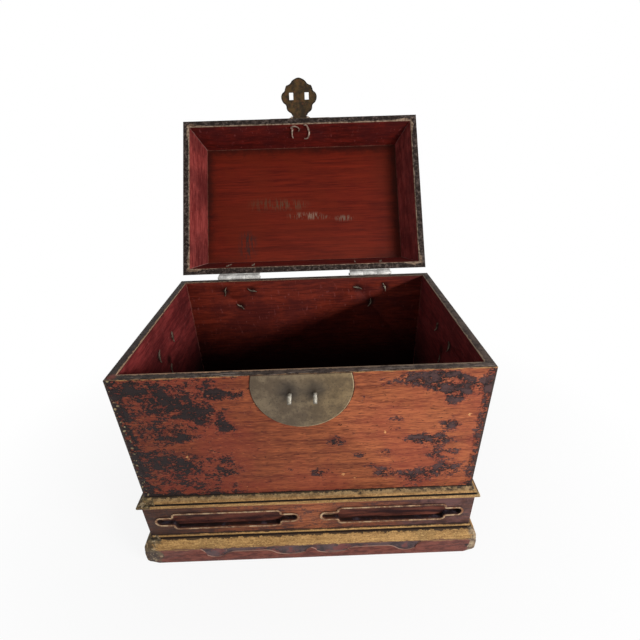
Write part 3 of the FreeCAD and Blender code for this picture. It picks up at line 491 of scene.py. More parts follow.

# inside: crimson with painted shade that takes it nearly black towards the bottom, rubbed at the
# corners, with a stain round each cotter
hinge_x = 0.1075
cotter_step = 0.022
post_y = 0.027
cotter_spots = [(hinge_x - cotter_step, inner_half_depth, 0.269),
                (hinge_x + cotter_step, inner_half_depth, 0.269),
                (hinge_x, inner_half_depth, 0.242),
                (inner_half_width, post_y, 0.244),
                (inner_half_width, -post_y, 0.244),
                (inner_half_width, 0.0, 0.222)]
on_back = ease(tree, half[1], inner_half_depth - 0.0012, inner_half_depth - 0.0002)
inside, inside_ridge = inner_lacquer(tree, place, blend(tree, on_back, paint(88, 26, 28), paint(84, 26, 18)),
                                     blend(tree, on_back, paint(138, 54, 52), paint(128, 46, 30)))
# painted shade: the inside coat goes nearly black towards the bottom of the case
inside = tint(tree, ease(tree, part[2], 0.248, 0.12), 0.94, inside, paint(6, 2, 3))
inside = tint(tree, worn(tree, place, to_corner(tree, half, -board), 0.0014), 0.6, inside, paint(142, 88, 78))
inside = tint(tree, worn(tree, place, rim_gap, 0.0016), 0.7, inside, paint(52, 34, 30))
both_sides = new_node(tree, "CombineXYZ", half[0], part[1], part[2]).outputs[0]
for spot in cotter_spots:
    inside = tint(tree, near(tree, both_sides, *spot, 0.011), 0.8, inside, paint(24, 9, 8))
is_inside = times(tree, ease(tree, half[0], inner_half_width + 0.0015, inner_half_width + 0.0005),
                  ease(tree, half[1], inner_half_depth + 0.0015, inner_half_depth + 0.0005))
shade = blend(tree, is_inside, outside, inside)

# rim: planed wood, dark at its corners, rubbed pale along the inner edge and in places along the
# front one, with scratches and one rest of lacquer at the left
planed = noise_value(tree, place, 90, 7.0, 0.8)
rim = blend(tree, ease(tree, planed, 0.38, 0.62), paint(50, 41, 37), paint(98, 84, 76))
# painted shade: the rim darkens towards the left, away from the lamp
rim = tint(tree, ease(tree, part[0], 0.06, -0.18), 0.5, rim, paint(46, 40, 36))
rim = tint(tree, worn(tree, place, side_gap, 0.0026), 0.85, rim, paint(30, 25, 23))
rim = tint(tree, worn(tree, place, out_of_walls(tree, half, -board), 0.0026), 0.85, rim,
           blend(tree, ease(tree, part[0], 0.12, -0.12), paint(150, 128, 106), paint(206, 164, 130)))
front_gap = maths(tree, "ADD", part[1], half_depth)
front_edge = times(tree, worn(tree, place, front_gap, 0.0018), ease(tree, planed, 0.44, 0.54))
rim = tint(tree, front_edge, 0.85, rim, paint(166, 132, 96))
rim = tint(tree, near(tree, place, -0.194, -0.128, case_height, 0.007), 0.8, rim, paint(150, 76, 62))
scratch = flecks(tree, place, (40, 420, 1), 4.0, 0.7, 0.56, 0.62)
scratch = times(tree, scratch, ease(tree, half[1], 0.126, 0.129))
rim = tint(tree, scratch, 0.7, rim, paint(176, 160, 148))
on_rim = times(tree, ease(tree, facing[2], 0.45, 0.75),
               ease(tree, part[2], case_height - 0.006, case_height - 0.003))
shade = blend(tree, on_rim, shade, rim)
principled(tree, shade, slide(tree, is_inside, outside_rough, 0.6),
           slide(tree, is_inside, outside_height, inside_ridge), 0.0004, gloss=0.12)

weld = 1e-6
smooth_under = 38


def opened(mesh):
    form = bmesh.new()
    form.from_mesh(mesh)
    return form


def closed_up(form, mesh):
    form.to_mesh(mesh)
    form.free()


def shaded(mesh, sharp_over):
    """Smooth shading, but for edges that turn by more than this many degrees."""
    mesh.shade_smooth()
    mesh.set_sharp_from_angle(angle=math.radians(sharp_over))


def rubbed(node, material, wear=0.0012, pitch=0.006, sharp=34, tip=None):
    """The node's own form with its arrises rubbed round, more in one place than in the next.

    Wear is the widest round, pitch the step along an arris, sharp the turn in degrees that makes
    an arris, and tip a wider round for the arrises that stand at the mitres."""
    form = opened(frame["nodes"][node].data)
    bmesh.ops.remove_doubles(form, verts=form.verts, dist=weld)
    bmesh.ops.dissolve_limit(form, angle_limit=math.radians(1), verts=form.verts, edges=form.edges)
    limit = math.radians(sharp)
    for edge in [e for e in form.edges if e.calc_face_angle(0) > limit]:
        cuts = int(edge.calc_length() / pitch)
        if cuts:
            bmesh.ops.subdivide_edges(form, edges=[edge], cuts=cuts)
    weight = form.edges.layers.float.new("bevel_weight_edge")
    for edge in form.edges:
        if edge.calc_face_angle(0) > limit:
            middle = (edge.verts[0].co + edge.verts[1].co) / 2
            uneven = 1.7 * noise.noise(middle * 60 + Vector((3, 3, 3)))
            edge[weight] = 0.55 + 0.45 * max(-1, min(1, uneven))
            off_mitre = (abs(middle.x) - half_width) - (abs(middle.y) - half_depth)
            if tip and abs(off_mitre) < 0.0001 and abs(middle.x) > half_width + 0.0062:
                edge[weight] = 1
            elif tip:
                edge[weight] *= wear / tip
    mesh = bpy.data.meshes.new(f"{node}_worn")
    closed_up(form, mesh)
    piece = bpy.data.objects.new(f"{node}_worn", mesh)
    bpy.context.collection.objects.link(piece)
    round_over = piece.modifiers.new("round_over", "BEVEL")
    round_over.limit_method = "WEIGHT"
    round_over.width = tip or wear
    round_over.segments = 2
    solid = piece.evaluated_get(bpy.context.evaluated_depsgraph_get())
    piece.data = bpy.data.meshes.new_from_object(solid)
    piece.modifiers.clear()
    piece.data.materials.clear()
    piece.data.materials.append(material)
    shaded(piece.data, smooth_under)
    body = [name for name, nodes in frame["record"]["behaviour"]["bodies"].items() if node in nodes][0]
    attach(piece, body)
    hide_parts(node)
    return piece


for name in ("front_board", "back_board", "left_board", "right_board"):
    rubbed(name, case_lacquer)

# Floor board. One softwood board let in between the four walls, with the same dull crimson coat,
# almost black, partly with age and dust and partly as painted shade at the bottom of the case.
floor_coat, tree = new_material("floor_coat")
place = spot_on(tree)[0]
lying = new_node(tree, "VectorRotate", place, rotation_type="X_AXIS")
lying.inputs["Angle"].default_value = math.pi / 2
strand = use_group(tree, grain, lying.outputs[0], 0.6)
# partly painted shade: the coat is kept nearly black
shade = streaks(tree, strand, paint(18, 7, 7), paint(40, 16, 14))
shade = tint(tree, chips(tree, place, 90.0, 0.12), 0.4, shade, paint(96, 74, 64))
principled(tree, shade, 0.7, strand["Ridge"])
rubbed("floor_board", floor_coat, wear=0.0006)

# Foot moulding. Four mitred lengths planed to a flat band, a fat torus, a quirk and a bead, fixed
# round the foot of the case. The carved cusped line of the band has a painted highlight on the wall
# of its cut, and the torus is worn to the bare wood.
sides = ("front", "back", "left", "right")
foot_height = 0.045
band_top = 0.027
band_out = 0.0146
foot_quirk = 0.0410
waist_face = 0.005
mitre_reach = 0.013


def bare_wood(tree, place, low, high):
    """Worn wood with rests of colour in its pores."""
    strand = use_group(tree, grain, place, 1.1)
    shade = streaks(tree, strand, low, high)
    shade = tint(tree, flecks(tree, place, 30, 6.0, 0.7, 0.5, 0.66), 0.55, shade, paint(132, 104, 64))
    grit = noise_value(tree, place, (420, 420, 640), 4.0, 0.75)
    shade = tint(tree, ease(tree, grit, 0.54, 0.62), 0.6, shade, paint(84, 60, 36))
    shade = tint(tree, ease(tree, grit, 0.44, 0.37), 0.55, shade, paint(222, 184, 124))
    return shade, strand["Ridge"]


def old_corner(tree, place, part, left, right):
    """Mottled wood of the mitred corners, of one tone on the left and another on the right."""
    dark = blend(tree, ease(tree, part[0], -0.1, 0.1), left, right)
    return tint(tree, flecks(tree, place, 260, 3.0, 0.5, 0.56, 0.62), 0.7, dark, paint(186, 166, 132))


foot_wood, tree = new_material("foot_wood")
place, part = spot_on(tree)
facing = spot_on(tree, "Normal")[1]
half = halves(tree, part)
reach = out_of_walls(tree, half)
to_left = ease(tree, part[0], 0.1, -0.1)
shade, ridge = bare_wood(tree, place, paint(142, 106, 62), paint(190, 148, 92))
mottle = noise_value(tree, place, 70, 6.0, 0.75)

# band: red on its face, dark where it is cut back to the cusped line, with a painted highlight on the wall of
# the cut
red_band = cloudy(tree, stretched(tree, place, 1, 1, 3), 60, paint(84, 43, 37), paint(122, 68, 56))
field = cloudy(tree, place, 55, paint(56, 46, 48), paint(92, 72, 73))
field = tint(tree, flecks(tree, place, 40, 5.0, 0.7, 0.52, 0.6), 0.6, field, paint(128, 66, 58))
band = blend(tree, ease(tree, reach, band_out - 0.00025, band_out - 0.00085), red_band, field)
# painted highlight on the walls of the cut
cut_wall = times(tree, ease(tree, maths(tree, "ABSOLUTE", facing[2]), 0.25, 0.6),
                 ease(tree, part[2], 0.008, 0.010))
band = tint(tree, cut_wall, 0.85, band, paint(172, 138, 120))
band = tint(tree, chips(tree, place, 150.0, 0.05), 0.8, band, paint(196, 150, 116))
band_edge = worn(tree, place, beyond(tree, part[2], band_top - 0.0002), 0.0022)
band = tint(tree, band_edge, 0.8, band, paint(156, 120, 76))
ragged = worn(tree, place, minus(tree, part[2], band_top - 0.0008), 0.0036)
shade = tint(tree, ragged, 0.85, shade, paint(96, 62, 54))
on_band = ease(tree, part[2], band_top + 0.0002, band_top - 0.0004)
shade = blend(tree, on_band, shade, band)

# quirk and top: dirt in the groove, on the torus under it, and against the waist
quirk = times(tree, ease(tree, part[2], foot_quirk - 0.0006, foot_quirk - 0.0004),
              ease(tree, part[2], foot_quirk + 0.0010, foot_quirk + 0.0005))
quirk = times(tree, quirk, ease(tree, reach, 0.0084, 0.0078))
shade = blend(tree, quirk, shade, paint(30, 22, 17))
grime = times(tree, worn(tree, place, beyond(tree, part[2], foot_quirk + 0.0002), 0.0022),
              ease(tree, part[2], foot_quirk + 0.0004, foot_quirk))
shade = tint(tree, grime, 0.9, shade, paint(42, 30, 24))
top_dirt = times(tree, worn(tree, place, minus(tree, reach, waist_face + 0.0002), 0.0012),
                 ease(tree, part[2], foot_height - 0.0014, foot_height - 0.0006))
shade = tint(tree, top_dirt, 0.85, shade, paint(36, 24, 22))

# corners: mottled far in from the mitre on the left, with one dark chip on the right, and the
# plain underside
mix = old_corner(tree, place, part, cloudy(tree, place, 160, paint(46, 40, 34), paint(102, 90, 68)),
                 cloudy(tree, place, 160, paint(88, 74, 60), paint(168, 146, 118)))
aged = worn(tree, place, to_corner(tree, half, mitre_reach), slide(tree, to_left, 0.010, 0.024))
shade = tint(tree, aged, 0.85, shade, mix)
shade = blend(tree, near(tree, place, 0.2035, -0.1486, 0.014, 0.0040), shade, paint(22, 15, 14))
shade = blend(tree, ease(tree, facing[2], -0.5, -0.8), shade, paint(88, 66, 48))
principled(tree, shade, slide(tree, on_band, 0.7, 0.58), maths(tree, "ADD", ridge, mottle), 0.0005)

corner_out = 0.015
corner_x = half_width + corner_out
corner_y = half_depth + corner_out


def cut(form, point, normal):
    """Cuts a whole form along a plane and takes nothing away, so that it can bend there."""
    whole = form.verts[:] + form.edges[:] + form.faces[:]
    bmesh.ops.bisect_plane(form, geom=whole, dist=weld, plane_co=point, plane_no=normal)


def cut_ends(piece):
    """Cuts across a moulding near its mitres, so that only its ends follow a moved corner."""
    form = opened(piece.data)
    for axis, corner in enumerate((corner_x, corner_y)):
        for inwards in (0.014, 0.007):
            spot = Vector()
            spot[axis] = corner - inwards
            for flip in (1, -1):
                cut(form, spot * flip, spot)
    closed_up(form, piece.data)


def draw_in(vert, radius, shifts):
    """Moves a point near a corner inwards, by each of the shifts as they weigh at its height."""
    x, y, z = vert.co
    close = max(0, 1 - math.hypot(corner_x - abs(x), corner_y - abs(y)) / radius)
    shift = sum(far * close * weigh(z) for far, weigh in shifts)
    vert.co.x -= math.copysign(shift, x)
    vert.co.y -= math.copysign(shift, y)


# the bottom arris is drawn nearly square, and the tips of the corners are knocked back at the
# very bottom and a little round the top of the band
bottom_round = 0.003
squareness = 0.8
round_x = half_width + band_out - bottom_round
round_y = half_depth + band_out - bottom_round
knocks = [(0.0030, lambda z: max(0, 1 - z / 0.010) ** 2),
          (0.0014, lambda z: max(0, 1 - abs(z - (band_top + 0.003)) / 0.008))]
for side in sides:
    piece = rubbed(f"{side}_foot", foot_wood, wear=0.0011, sharp=40, tip=0.0040)
    cut_ends(piece)
    for vert in piece.data.vertices:
        x, y, z = vert.co
        past_x, past_y = abs(x) - round_x, abs(y) - round_y
        out_by = max(past_x, past_y)
        if out_by > 0.0001 and z < bottom_round - 0.0001:
            square = squareness * (bottom_round / max(out_by, bottom_round - z) - 1)
            if past_x > 0.0001:
                vert.co.x += math.copysign(past_x * square, x)
            if past_y > 0.0001:
                vert.co.y += math.copysign(past_y * square, y)
            vert.co.z -= (bottom_round - z) * square
        draw_in(vert, 0.013, knocks)

# Waist. A thin board on each side with long cusped openings cut through it and a carved bead
# round each, lacquered brown and fixed on the wall between the foot and the ledge.
waist_lacquer, tree = new_material("waist_lacquer")
place, part = spot_on(tree)
facing = spot_on(tree, "Normal")[1]
half = halves(tree, part)
reach = out_of_walls(tree, half)
to_left = ease(tree, part[0], 0.1, -0.1)
strand = use_group(tree, grain, place, 1.2)
mottle = noise_value(tree, place, 48, 6.0, 0.7)
shade = streaks(tree, strand, paint(60, 30, 24), paint(140, 80, 52), 0.36, 0.62)
shade = tint(tree, strand["Line"], 0.85, shade, paint(44, 26, 22))
shade = tint(tree, ease(tree, half[0], 0.034, 0.010), 0.6, shade,
             streaks(tree, strand, paint(122, 62, 40), paint(176, 104, 66), 0.40, 0.58))
shade = tint(tree, use_group(tree, remnant, place, 0.40)["Island"], 0.75, shade, paint(64, 44, 44))
purple = cloudy(tree, place, 60, blend(tree, to_left, paint(46, 33, 34), paint(27, 18, 16)),
                blend(tree, to_left, paint(92, 66, 66), paint(52, 37, 30)))
shade = tint(tree, ease(tree, add_scaled(tree, half[0], mottle, 0.12), 0.13, 0.22), 0.75, shade, purple)
# painted shade along the top edge under the overhanging ledge, and the same darkening along the bottom edge
# by the foot
for edge_gap in (minus(tree, part[2], foot_height), beyond(tree, part[2], ledge_bottom)):
    shade = tint(tree, worn(tree, place, edge_gap, 0.0034), 0.8, shade, paint(40, 26, 26))

# the bead round each opening is darkened on its flanks as painted shade and rubbed pale on its crest,
# and the wall of the opening is black with grey clouds, partly grime and partly painted shade
# painted shade over the flanks of each bead
raised = ease(tree, reach, waist_face + 0.0002, waist_face + 0.0006)
shade = tint(tree, raised, 0.85, shade, paint(60, 36, 30))
side_face = larger(tree, maths(tree, "ABSOLUTE", facing[0]), maths(tree, "ABSOLUTE", facing[1]))
crest = times(tree, ease(tree, reach, waist_face + 0.0006, waist_face + 0.0011),
              ease(tree, side_face, 0.80, 0.95))
crest = times(tree, crest, ease(tree, mottle, 0.34, 0.54))
shade = tint(tree, crest, 0.8, shade, cloudy(tree, place, 110, paint(132, 88, 58), paint(204, 172, 134)))
# the wall of each opening: black for grime and for painted shade, clouded with grey
hole = times(tree, ease(tree, reach, waist_face, waist_face - 0.0004), ease(tree, reach, -0.002, -0.0005))
shade = tint(tree, hole, 0.9, shade, cloudy(tree, stretched(tree, place, 1, 1, 4), 60, paint(20, 13, 14),
                                            paint(66, 60, 70), 0.5, 0.66))
principled(tree, shade, 0.58, maths(tree, "ADD", strand["Ridge"], mottle), 0.0004)
for side in sides:
    rubbed(f"{side}_waist", waist_lacquer, wear=0.0009, sharp=40)

# Ledge moulding. A bead and a quirk under a hollow, planed in one length per side, mitred and
# fixed over the waist. It is bare on its rounds, and black in its quirk and against the wall.
ledge_quirk = 0.1045
ledge_wood, tree = new_material("ledge_wood")
place, part = spot_on(tree)
half = halves(tree, part)
reach = out_of_walls(tree, half)
shade, ridge = bare_wood(tree, place, paint(132, 98, 58), paint(186, 144, 90))
mottle = noise_value(tree, place, 90, 6.0, 0.75)
hollow = ease(tree, part[2], ledge_top - 0.0050, ledge_top - 0.0030)
shade = tint(tree, hollow, 0.7, shade, cloudy(tree, place, 130, paint(84, 68, 46), paint(150, 126, 90)))
wall_dirt = new_node(tree, "Math", worn(tree, place, reach, 0.0026),
                     times(tree, hollow, chips(tree, place, 105.0, 0.14)), operation="ADD", use_clamp=True)
shade = tint(tree, wall_dirt.outputs[0], 0.9, shade, paint(34, 27, 21))
stain = times(tree, flecks(tree, stretched(tree, place, 0.45, 1, 1), 190, 4.0, 0.6, 0.54, 0.60),
              ease(tree, part[0], 0.10, 0.17))
shade = tint(tree, times(tree, stain, hollow), 0.85, shade, paint(34, 25, 20))
quirk = times(tree, ease(tree, part[2], ledge_quirk - 0.0008, ledge_quirk - 0.0005),
              ease(tree, part[2], ledge_quirk + 0.0008, ledge_quirk + 0.0005))
quirk = times(tree, quirk, ease(tree, reach, 0.0086, 0.0080))
shade = blend(tree, quirk, shade, paint(26, 19, 14))
# painted shade along the bottom of the bead
under = worn(tree, place, minus(tree, part[2], ledge_bottom), 0.0010)
shade = tint(tree, under, 0.8, shade, paint(96, 58, 36))
mix = old_corner(tree, place, part, cloudy(tree, place, 160, paint(44, 38, 30), paint(104, 90, 62)),
                 cloudy(tree, place, 160, paint(60, 50, 38), paint(170, 146, 104)))
aged = worn(tree, place, to_corner(tree, half, mitre_reach),
            slide(tree, ease(tree, part[0], 0.1, -0.1), 0.012, 0.030))
shade = tint(tree, aged, 0.85, shade, mix)
principled(tree, shade, 0.66, maths(tree, "ADD", ridge, mottle), 0.0005)
for side in sides:
    piece = rubbed(f"{side}_ledge", ledge_wood, wear=0.0007, sharp=40, tip=0.0022)
    cut_ends(piece)
    for vert in piece.data.vertices:
        draw_in(vert, 0.009, [(0.0018, lambda z: 1)])

# Lid. Four sloping boards mitred at the hips and a panel with bevelled edges on top: lacquered
# like the case outside, red-brown and brushed inside, its rim worn down to the wood. It stands
# open on its two hinges.
lid_hinge = [joint for joint in frame["record"]["behaviour"]["joints"] if joint["name"] == "lid_hinge"][0]
pin = Vector(lid_hinge["pos_m"])
lid_open = math.radians(lid_hinge["range_deg"][1])
lid_slope = math.radians(25.36)
panel_under = 0.328
lid_board = 0.0098

lid_lacquer, tree = new_material("lid_lacquer")
closed = new_node(tree, "VectorRotate", spot_on(tree)[0], pin, rotation_type="X_AXIS")
closed.inputs["Angle"].default_value = lid_open
place = closed.outputs[0]
part = new_node(tree, "SeparateXYZ", place).outputs
half = halves(tree, part)
over_rim = minus(tree, part[2], case_height)
lean = times(tree, over_rim, math.tan(lid_slope))
from_x = minus(tree, beyond(tree, half[0], half_width), lean)
from_y = minus(tree, beyond(tree, half[1], half_depth), lean)
depth = maths(tree, "MINIMUM", from_x, from_y)
lining_share = times(tree, ease(tree, depth, lid_board - 0.0012, lid_board - 0.0006),
                     ease(tree, part[2], panel_under + 0.0010, panel_under + 0.0004))
lid_islands = [(-0.12, 0.337, 0.09, 0.2), (0.13, 0.337, 0.08, 0.2), (0.15, 0.31, 0.07, 0.2)]
cover = add_scaled(tree, 0.28, ease(tree, over_rim, 0.012, 0.001), 0.2)
outside, outside_rough, outside_height = outer_lacquer(tree, place, lid_islands, cover)

# underside of the panel: brushed, dark round its border and brighter low in the middle
strand = use_group(tree, grain, stretched(tree, place, 0.5, 9.0, 1.0), 0.6)
panel = streaks(tree, strand, paint(80, 20, 12), paint(126, 38, 21), 0.30, 0.70)
panel = tint(tree, flecks(tree, place, 16, 4.0, 0.6, 0.6, 0.4), 0.5, panel, paint(112, 36, 18))
border = minus(tree, depth, lid_board)
soft = add_scaled(tree, border, noise_value(tree, place, 45, 5.0, 0.7), 0.030)
strength = slide(tree, ease(tree, part[1], 0.03, 0.11), 0.8, 0.45)
panel = tint(tree, ease(tree, soft, 0.034, 0.014), strength, panel, paint(44, 17, 13))
panel = tint(tree, worn(tree, place, border, 0.0009), 0.5, panel, paint(140, 96, 80))
# painted shadow of the lid's right wall along the right of the panel
panel = tint(tree, ease(tree, part[0], 0.105, 0.165), 0.4, panel, paint(58, 20, 12))
low_middle = times(tree, ease(tree, part[1], 0.02, 0.09), ease(tree, half[0], 0.14, 0.09))
panel = tint(tree, low_middle, 0.45, panel,
             streaks(tree, strand, paint(100, 34, 22), paint(134, 46, 28), 0.36, 0.64))

# rubbed marks on the panel: lying strokes across the middle, and two round smudges on the left
hatch = flecks(tree, place, (420, 60, 60), 3.0, 0.7, 0.46, 0.56)
stroke = (1.0, 3.0, 1.0)
smudge = (1.0, 0.9, 1.0)
for x, y, radius, squash, colour in ((-0.008, 0.023, 0.026, stroke, (126, 96, 80)),
                                     (0.014, 0.024, 0.028, stroke, (150, 122, 104)),
                                     (0.034, 0.027, 0.018, stroke, (120, 92, 76)),
                                     (0.073, 0.030, 0.024, stroke, (126, 100, 84)),
                                     (-0.060, 0.001, 0.052, stroke, (96, 60, 42)),
                                     (-0.020, 0.003, 0.040, stroke, (100, 66, 48)),
                                     (-0.100, 0.066, 0.022, smudge, (62, 40, 36)),
                                     (-0.100, 0.082, 0.022, smudge, (62, 40, 36))):
    mark = times(tree, near(tree, place, x, y, panel_under, radius, squash), hatch)
    panel = tint(tree, mark, 0.85, panel, paint(*colour))

# insides of the sloping boards: rubbed at the hips, under the panel and at the mouth
# painted shade: the front and back boards are painted darker than the sides
on_side = maths(tree, "LESS_THAN", from_x, from_y)
walls = inner_lacquer(tree, place, blend(tree, on_side, paint(68, 17, 13), paint(116, 40, 38)),
                      blend(tree, on_side, paint(108, 30, 22), paint(172, 78, 72)))[0]
hip = maths(tree, "ABSOLUTE", minus(tree, from_x, from_y))
walls = tint(tree, worn(tree, place, hip, 0.0012), 0.65, walls, paint(156, 116, 108))
under_panel = worn(tree, place, beyond(tree, part[2], panel_under + 0.0001), 0.0008)
walls = tint(tree, under_panel, 0.6, walls, paint(150, 106, 92))
mouth = worn(tree, place, minus(tree, part[2], case_height + 0.0008), 0.0010)
walls = tint(tree, mouth, 0.7, walls, paint(140, 104, 76))
lining = blend(tree, ease(tree, part[2], panel_under - 0.0006, panel_under - 0.0001), walls, panel)
shade = blend(tree, lining_share, outside, lining)

# rim: planed wood with a band of tan along its inner edge, widest at the corners
planed = noise_value(tree, place, 150, 6.0, 0.8)
rim = blend(tree, ease(tree, planed, 0.46, 0.68), paint(40, 31, 27), paint(122, 106, 98))
corner = ease(tree, larger(tree, from_x, from_y), 0.045, 0.008)
tan_wide = add_scaled(tree, 0.0016, corner, 0.0045)
rim = tint(tree, worn(tree, place, beyond(tree, depth, lid_board + 0.0002), tan_wide), 0.9, rim,
           cloudy(tree, place, 200, paint(112, 88, 70), paint(182, 156, 132)))
shade = blend(tree, ease(tree, part[2], case_height + 0.0018, case_height + 0.0010), shade, rim)
principled(tree, shade, slide(tree, lining_share, outside_rough, 0.6),
           slide(tree, lining_share, outside_height, strand["Ridge"]), 0.0004, gloss=0.1)
for name in ("lid_front_board", "lid_back_board", "lid_left_board", "lid_right_board", "lid_top_panel"):
    rubbed(name, lid_lacquer, wear=0.0014)

# Lock plate. A disc of sheet brass cut in two where the lid meets the case, held on the case by
# the staples and on the lid by the cotters of the hasp, dull and mottled with age.
staple_x = 0.01325


def aged_metal(tree, place, low, high, spots, scale=1.0):
    """Colour, roughness and height of old handled metal: clouds, pits and fine scratches."""
    cloud = noise_value(tree, place, 55 * scale, 6.0, 0.68)
    fine = noise_value(tree, place, 420 * scale, 4.0, 0.7)
    scratch = noise_value(tree, place, (900, 900, 60), 3.0, 0.7)
    shade = blend(tree, ease(tree, cloud, 0.36, 0.64), low, high)
    shade = tint(tree, ease(tree, fine, 0.54, 0.66), 0.6, shade, spots)
    rough = add_scaled(tree, add_scaled(tree, 0.3, scratch, 0.15), cloud, 0.35)
    return shade, rough, maths(tree, "ADD", cloud, times(tree, fine, 0.5))


plate_brass, tree = new_material("plate_brass")
place, part = spot_on(tree)
warm = ease(tree, part[0], -0.02, 0.045)
shade, rough, height = aged_metal(tree, place, blend(tree, warm, paint(90, 76, 60), paint(94, 78, 56)),
                                  blend(tree, warm, paint(124, 108, 86), paint(128, 108, 78)),
                                  paint(66, 56, 46))
for x in (-staple_x, staple_x):
    shade = tint(tree, near(tree, place, x, -0.135, 0.266, 0.019), 0.75, shade, paint(52, 46, 42))
# painted highlight along the rim of the plate on the right
radius = distance_to(tree, place, (0, -0.1346, plate_height))
bright = times(tree, ease(tree, radius, plate_radius - 0.0010, plate_radius - 0.0003),
               ease(tree, part[0], -0.03, 0.01))
bright = times(tree, bright, flecks(tree, place, 90, 4.0, 0.7, 0.34, 0.56))
shade = tint(tree, bright, 0.8, shade, paint(190, 168, 132))
principled(tree, shade, rough, height, metal=0.55, gloss=0.4)
for name in ("lock_plate_lower", "lock_plate_upper"):
    rubbed(name, plate_brass, wear=0.0004, pitch=0.05)

# Staples and cotters. Strips of brass bent round to an eye, pushed through plate and board, and
# spread apart inside. The eyes are rubbed bright by the padlock.


def metal_finish(name, low, high, spots, scale, metal, gloss, lift=0.0003):
    """A plain material of old handled metal."""
    material, tree = new_material(name)
    shade, rough, height = aged_metal(tree, spot_on(tree)[0], low, high, spots, scale)
    principled(tree, shade, rough, height, lift, metal, gloss)
    return material


def dress(node, material):
    """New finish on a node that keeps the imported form."""
    for held in frame["nodes"][node].material_slots:
        held.material = material


strip_brass = metal_finish("strip_brass", paint(96, 84, 72), paint(176, 162, 142), paint(60, 48, 40),
                           scale=3.0, metal=0.6, gloss=0.5)
pale_strip = metal_finish("pale_strip", paint(124, 104, 90), paint(206, 184, 164), paint(80, 60, 50),
                          scale=3.0, metal=0.4, gloss=0.5)


def solids_of(form):
    """The separate solids of a form, each as a list of its points in their own order."""
    reached = set()
    for start in form.verts[:]:
        if start in reached:
            continue
        solid = []
        waiting = [start]
        reached.add(start)
        while waiting:
            vert = waiting.pop()
            solid.append(vert)
            found = [e.other_vert(vert) for e in vert.link_edges if e.other_vert(vert) not in reached]
            reached.update(found)
            waiting.extend(found)
        yield sorted(solid, key=lambda vert: vert.index)


def leg_ways(legs, point, normal):
    """Middle of a cotter's two legs on the board, their length, and the ways down and aside."""
    middle = sum((v.co for v in legs), Vector()) / len(legs)
    middle -= normal * (middle - point).dot(normal)
    far = max(legs, key=lambda vert: (round((vert.co - middle).length, 6), vert.index)).co - middle
    tips = [v.co - middle for v in legs if (v.co - middle).dot(far) > 0.85 * far.length_squared]
    along = sum(tips, Vector()) / len(tips)
    along -= normal * along.dot(normal)
    length = along.length
    along.normalize()
    if along.z > 0:
        along = -along
    return middle, length, along, along.cross(normal)


def curl_at(bends, at):
    """Spot on a curl at this many bends from its start, and the way that the curl runs there."""
    spots = []
    for value in (at, at - 0.3, at + 0.3):
        value = max(0, min(len(bends) - 1, value))
        first = min(int(value), len(bends) - 2)
        spots.append(bends[first].lerp(bends[first + 1], value - first))
    return spots[0], (spots[2] - spots[1]).normalized()


def bent(node, material, face, broad=0.6, curls=None):
    """The node's own form, its legs drawn out to points and each bent its own way.

    Face gives a point and the normal of the board's inner face at a spot, and broad is the width
    left to a leg. Curls holds, for the left and the right cotter, the bends of the upper and the
    lower leg, in millimetres across and down the board."""
    piece = rubbed(node, material, wear=0.0004, pitch=0.0008 if curls else 0.0016)
    form = opened(piece.data)
    if curls:
        point, normal = face(Vector())
        down = Vector((1, 0, 0)).cross(normal)
        for count in range(24):
            cut(form, point + down * (0.001 + 0.0008 * count), down)
        form.verts.index_update()
    for solid in solids_of(form):
        point, normal = face(solid[0].co)
        legs = [v for v in solid if (v.co - point).dot(normal) > -0.00005]
        middle, length, along, aside = leg_ways(legs, point, normal)
        for vert in legs:
            gap = vert.co - middle
            step, side, lift = gap.dot(along), gap.dot(aside), gap.dot(normal)
            share = min(1, abs(step) / length)
            lower = 1 if step > 0 else -1
            side *= broad * (1 - 0.5 * share)
            if curls:
                bends = [Vector((0, 0))] + [Vector(spot) for spot in curls[middle.x > 0][step > 0]]
                spot, run = curl_at(bends, share * (len(bends) - 1))
                if share < 0.06:
                    run = Vector((0, lower))
                flat = spot * 0.001 + Vector((run.y, -run.x)) * lower * side * (1 if aside.x > 0 else -1)
                lift += 0.0026 * min(1, share * 3)
                vert.co = middle + Vector((1, 0, 0)) * flat.x + along * flat.y + normal * lift
            else:
                wobble = noise.noise(middle * 900 + Vector((9 if step > 0 else 2, 0, 0))) * 1.6
                side += (wobble + (0.5 if step > 0 else -0.4)) * 0.0042 * share ** 2
                step *= 1 - 0.14 * share
                lift += 0.0011 * share ** 2
                vert.co = middle + along * step + aside * side + normal * lift
    closed_up(form, piece.data)
    shaded(piece.data, smooth_under)


def lid_face(side):
    """Inner face of the open lid's front (-1) or back (1) board, as a point and a normal."""
    turn = Matrix.Rotation(-lid_open, 3, "X")
    point = pin + turn @ (Vector((0, side * 0.1242, case_height)) - pin)
    return point, turn @ Vector((0, -side * math.cos(lid_slope), -math.sin(lid_slope)))


def end_face(spot):
    """Inner face of the left or the right board, whichever the spot is at."""
    wall = Vector((math.copysign(inner_half_width, spot.x), 0, 0))
    return wall, Vector((math.copysign(1, -spot.x), 0, 0))


bent("case_hinge_cotters", strip_brass, lambda spot: (Vector((0, inner_half_depth, 0)), Vector((0, -1, 0))))
bent("lid_hinge_cotters", strip_brass, lambda spot: lid_face(1))
bent("hasp_cotters", pale_strip, lambda spot: lid_face(-1), broad=0.95, curls=(
    (((-1.7, -4.0), (0.8, -6.6), (4.8, -7.2), (9.6, -5.4), (12.6, -1.6), (10.6, 2.4)),
     ((-0.4, 4.0), (-0.9, 8.0), (-0.5, 11.5), (0.6, 14.6))),
    (((-0.6, -4.0), (-2.0, -7.4), (-4.4, -9.2), (-7.2, -8.6)),
     ((1.4, 4.0), (1.3, 8.0), (0.4, 12.0), (-1.6, 15.6), (-4.6, 16.6), (-7.6, 16.2)))))
for name in ("handle_posts", "handle_plate_cotters"):
    bent(name, strip_brass, end_face)
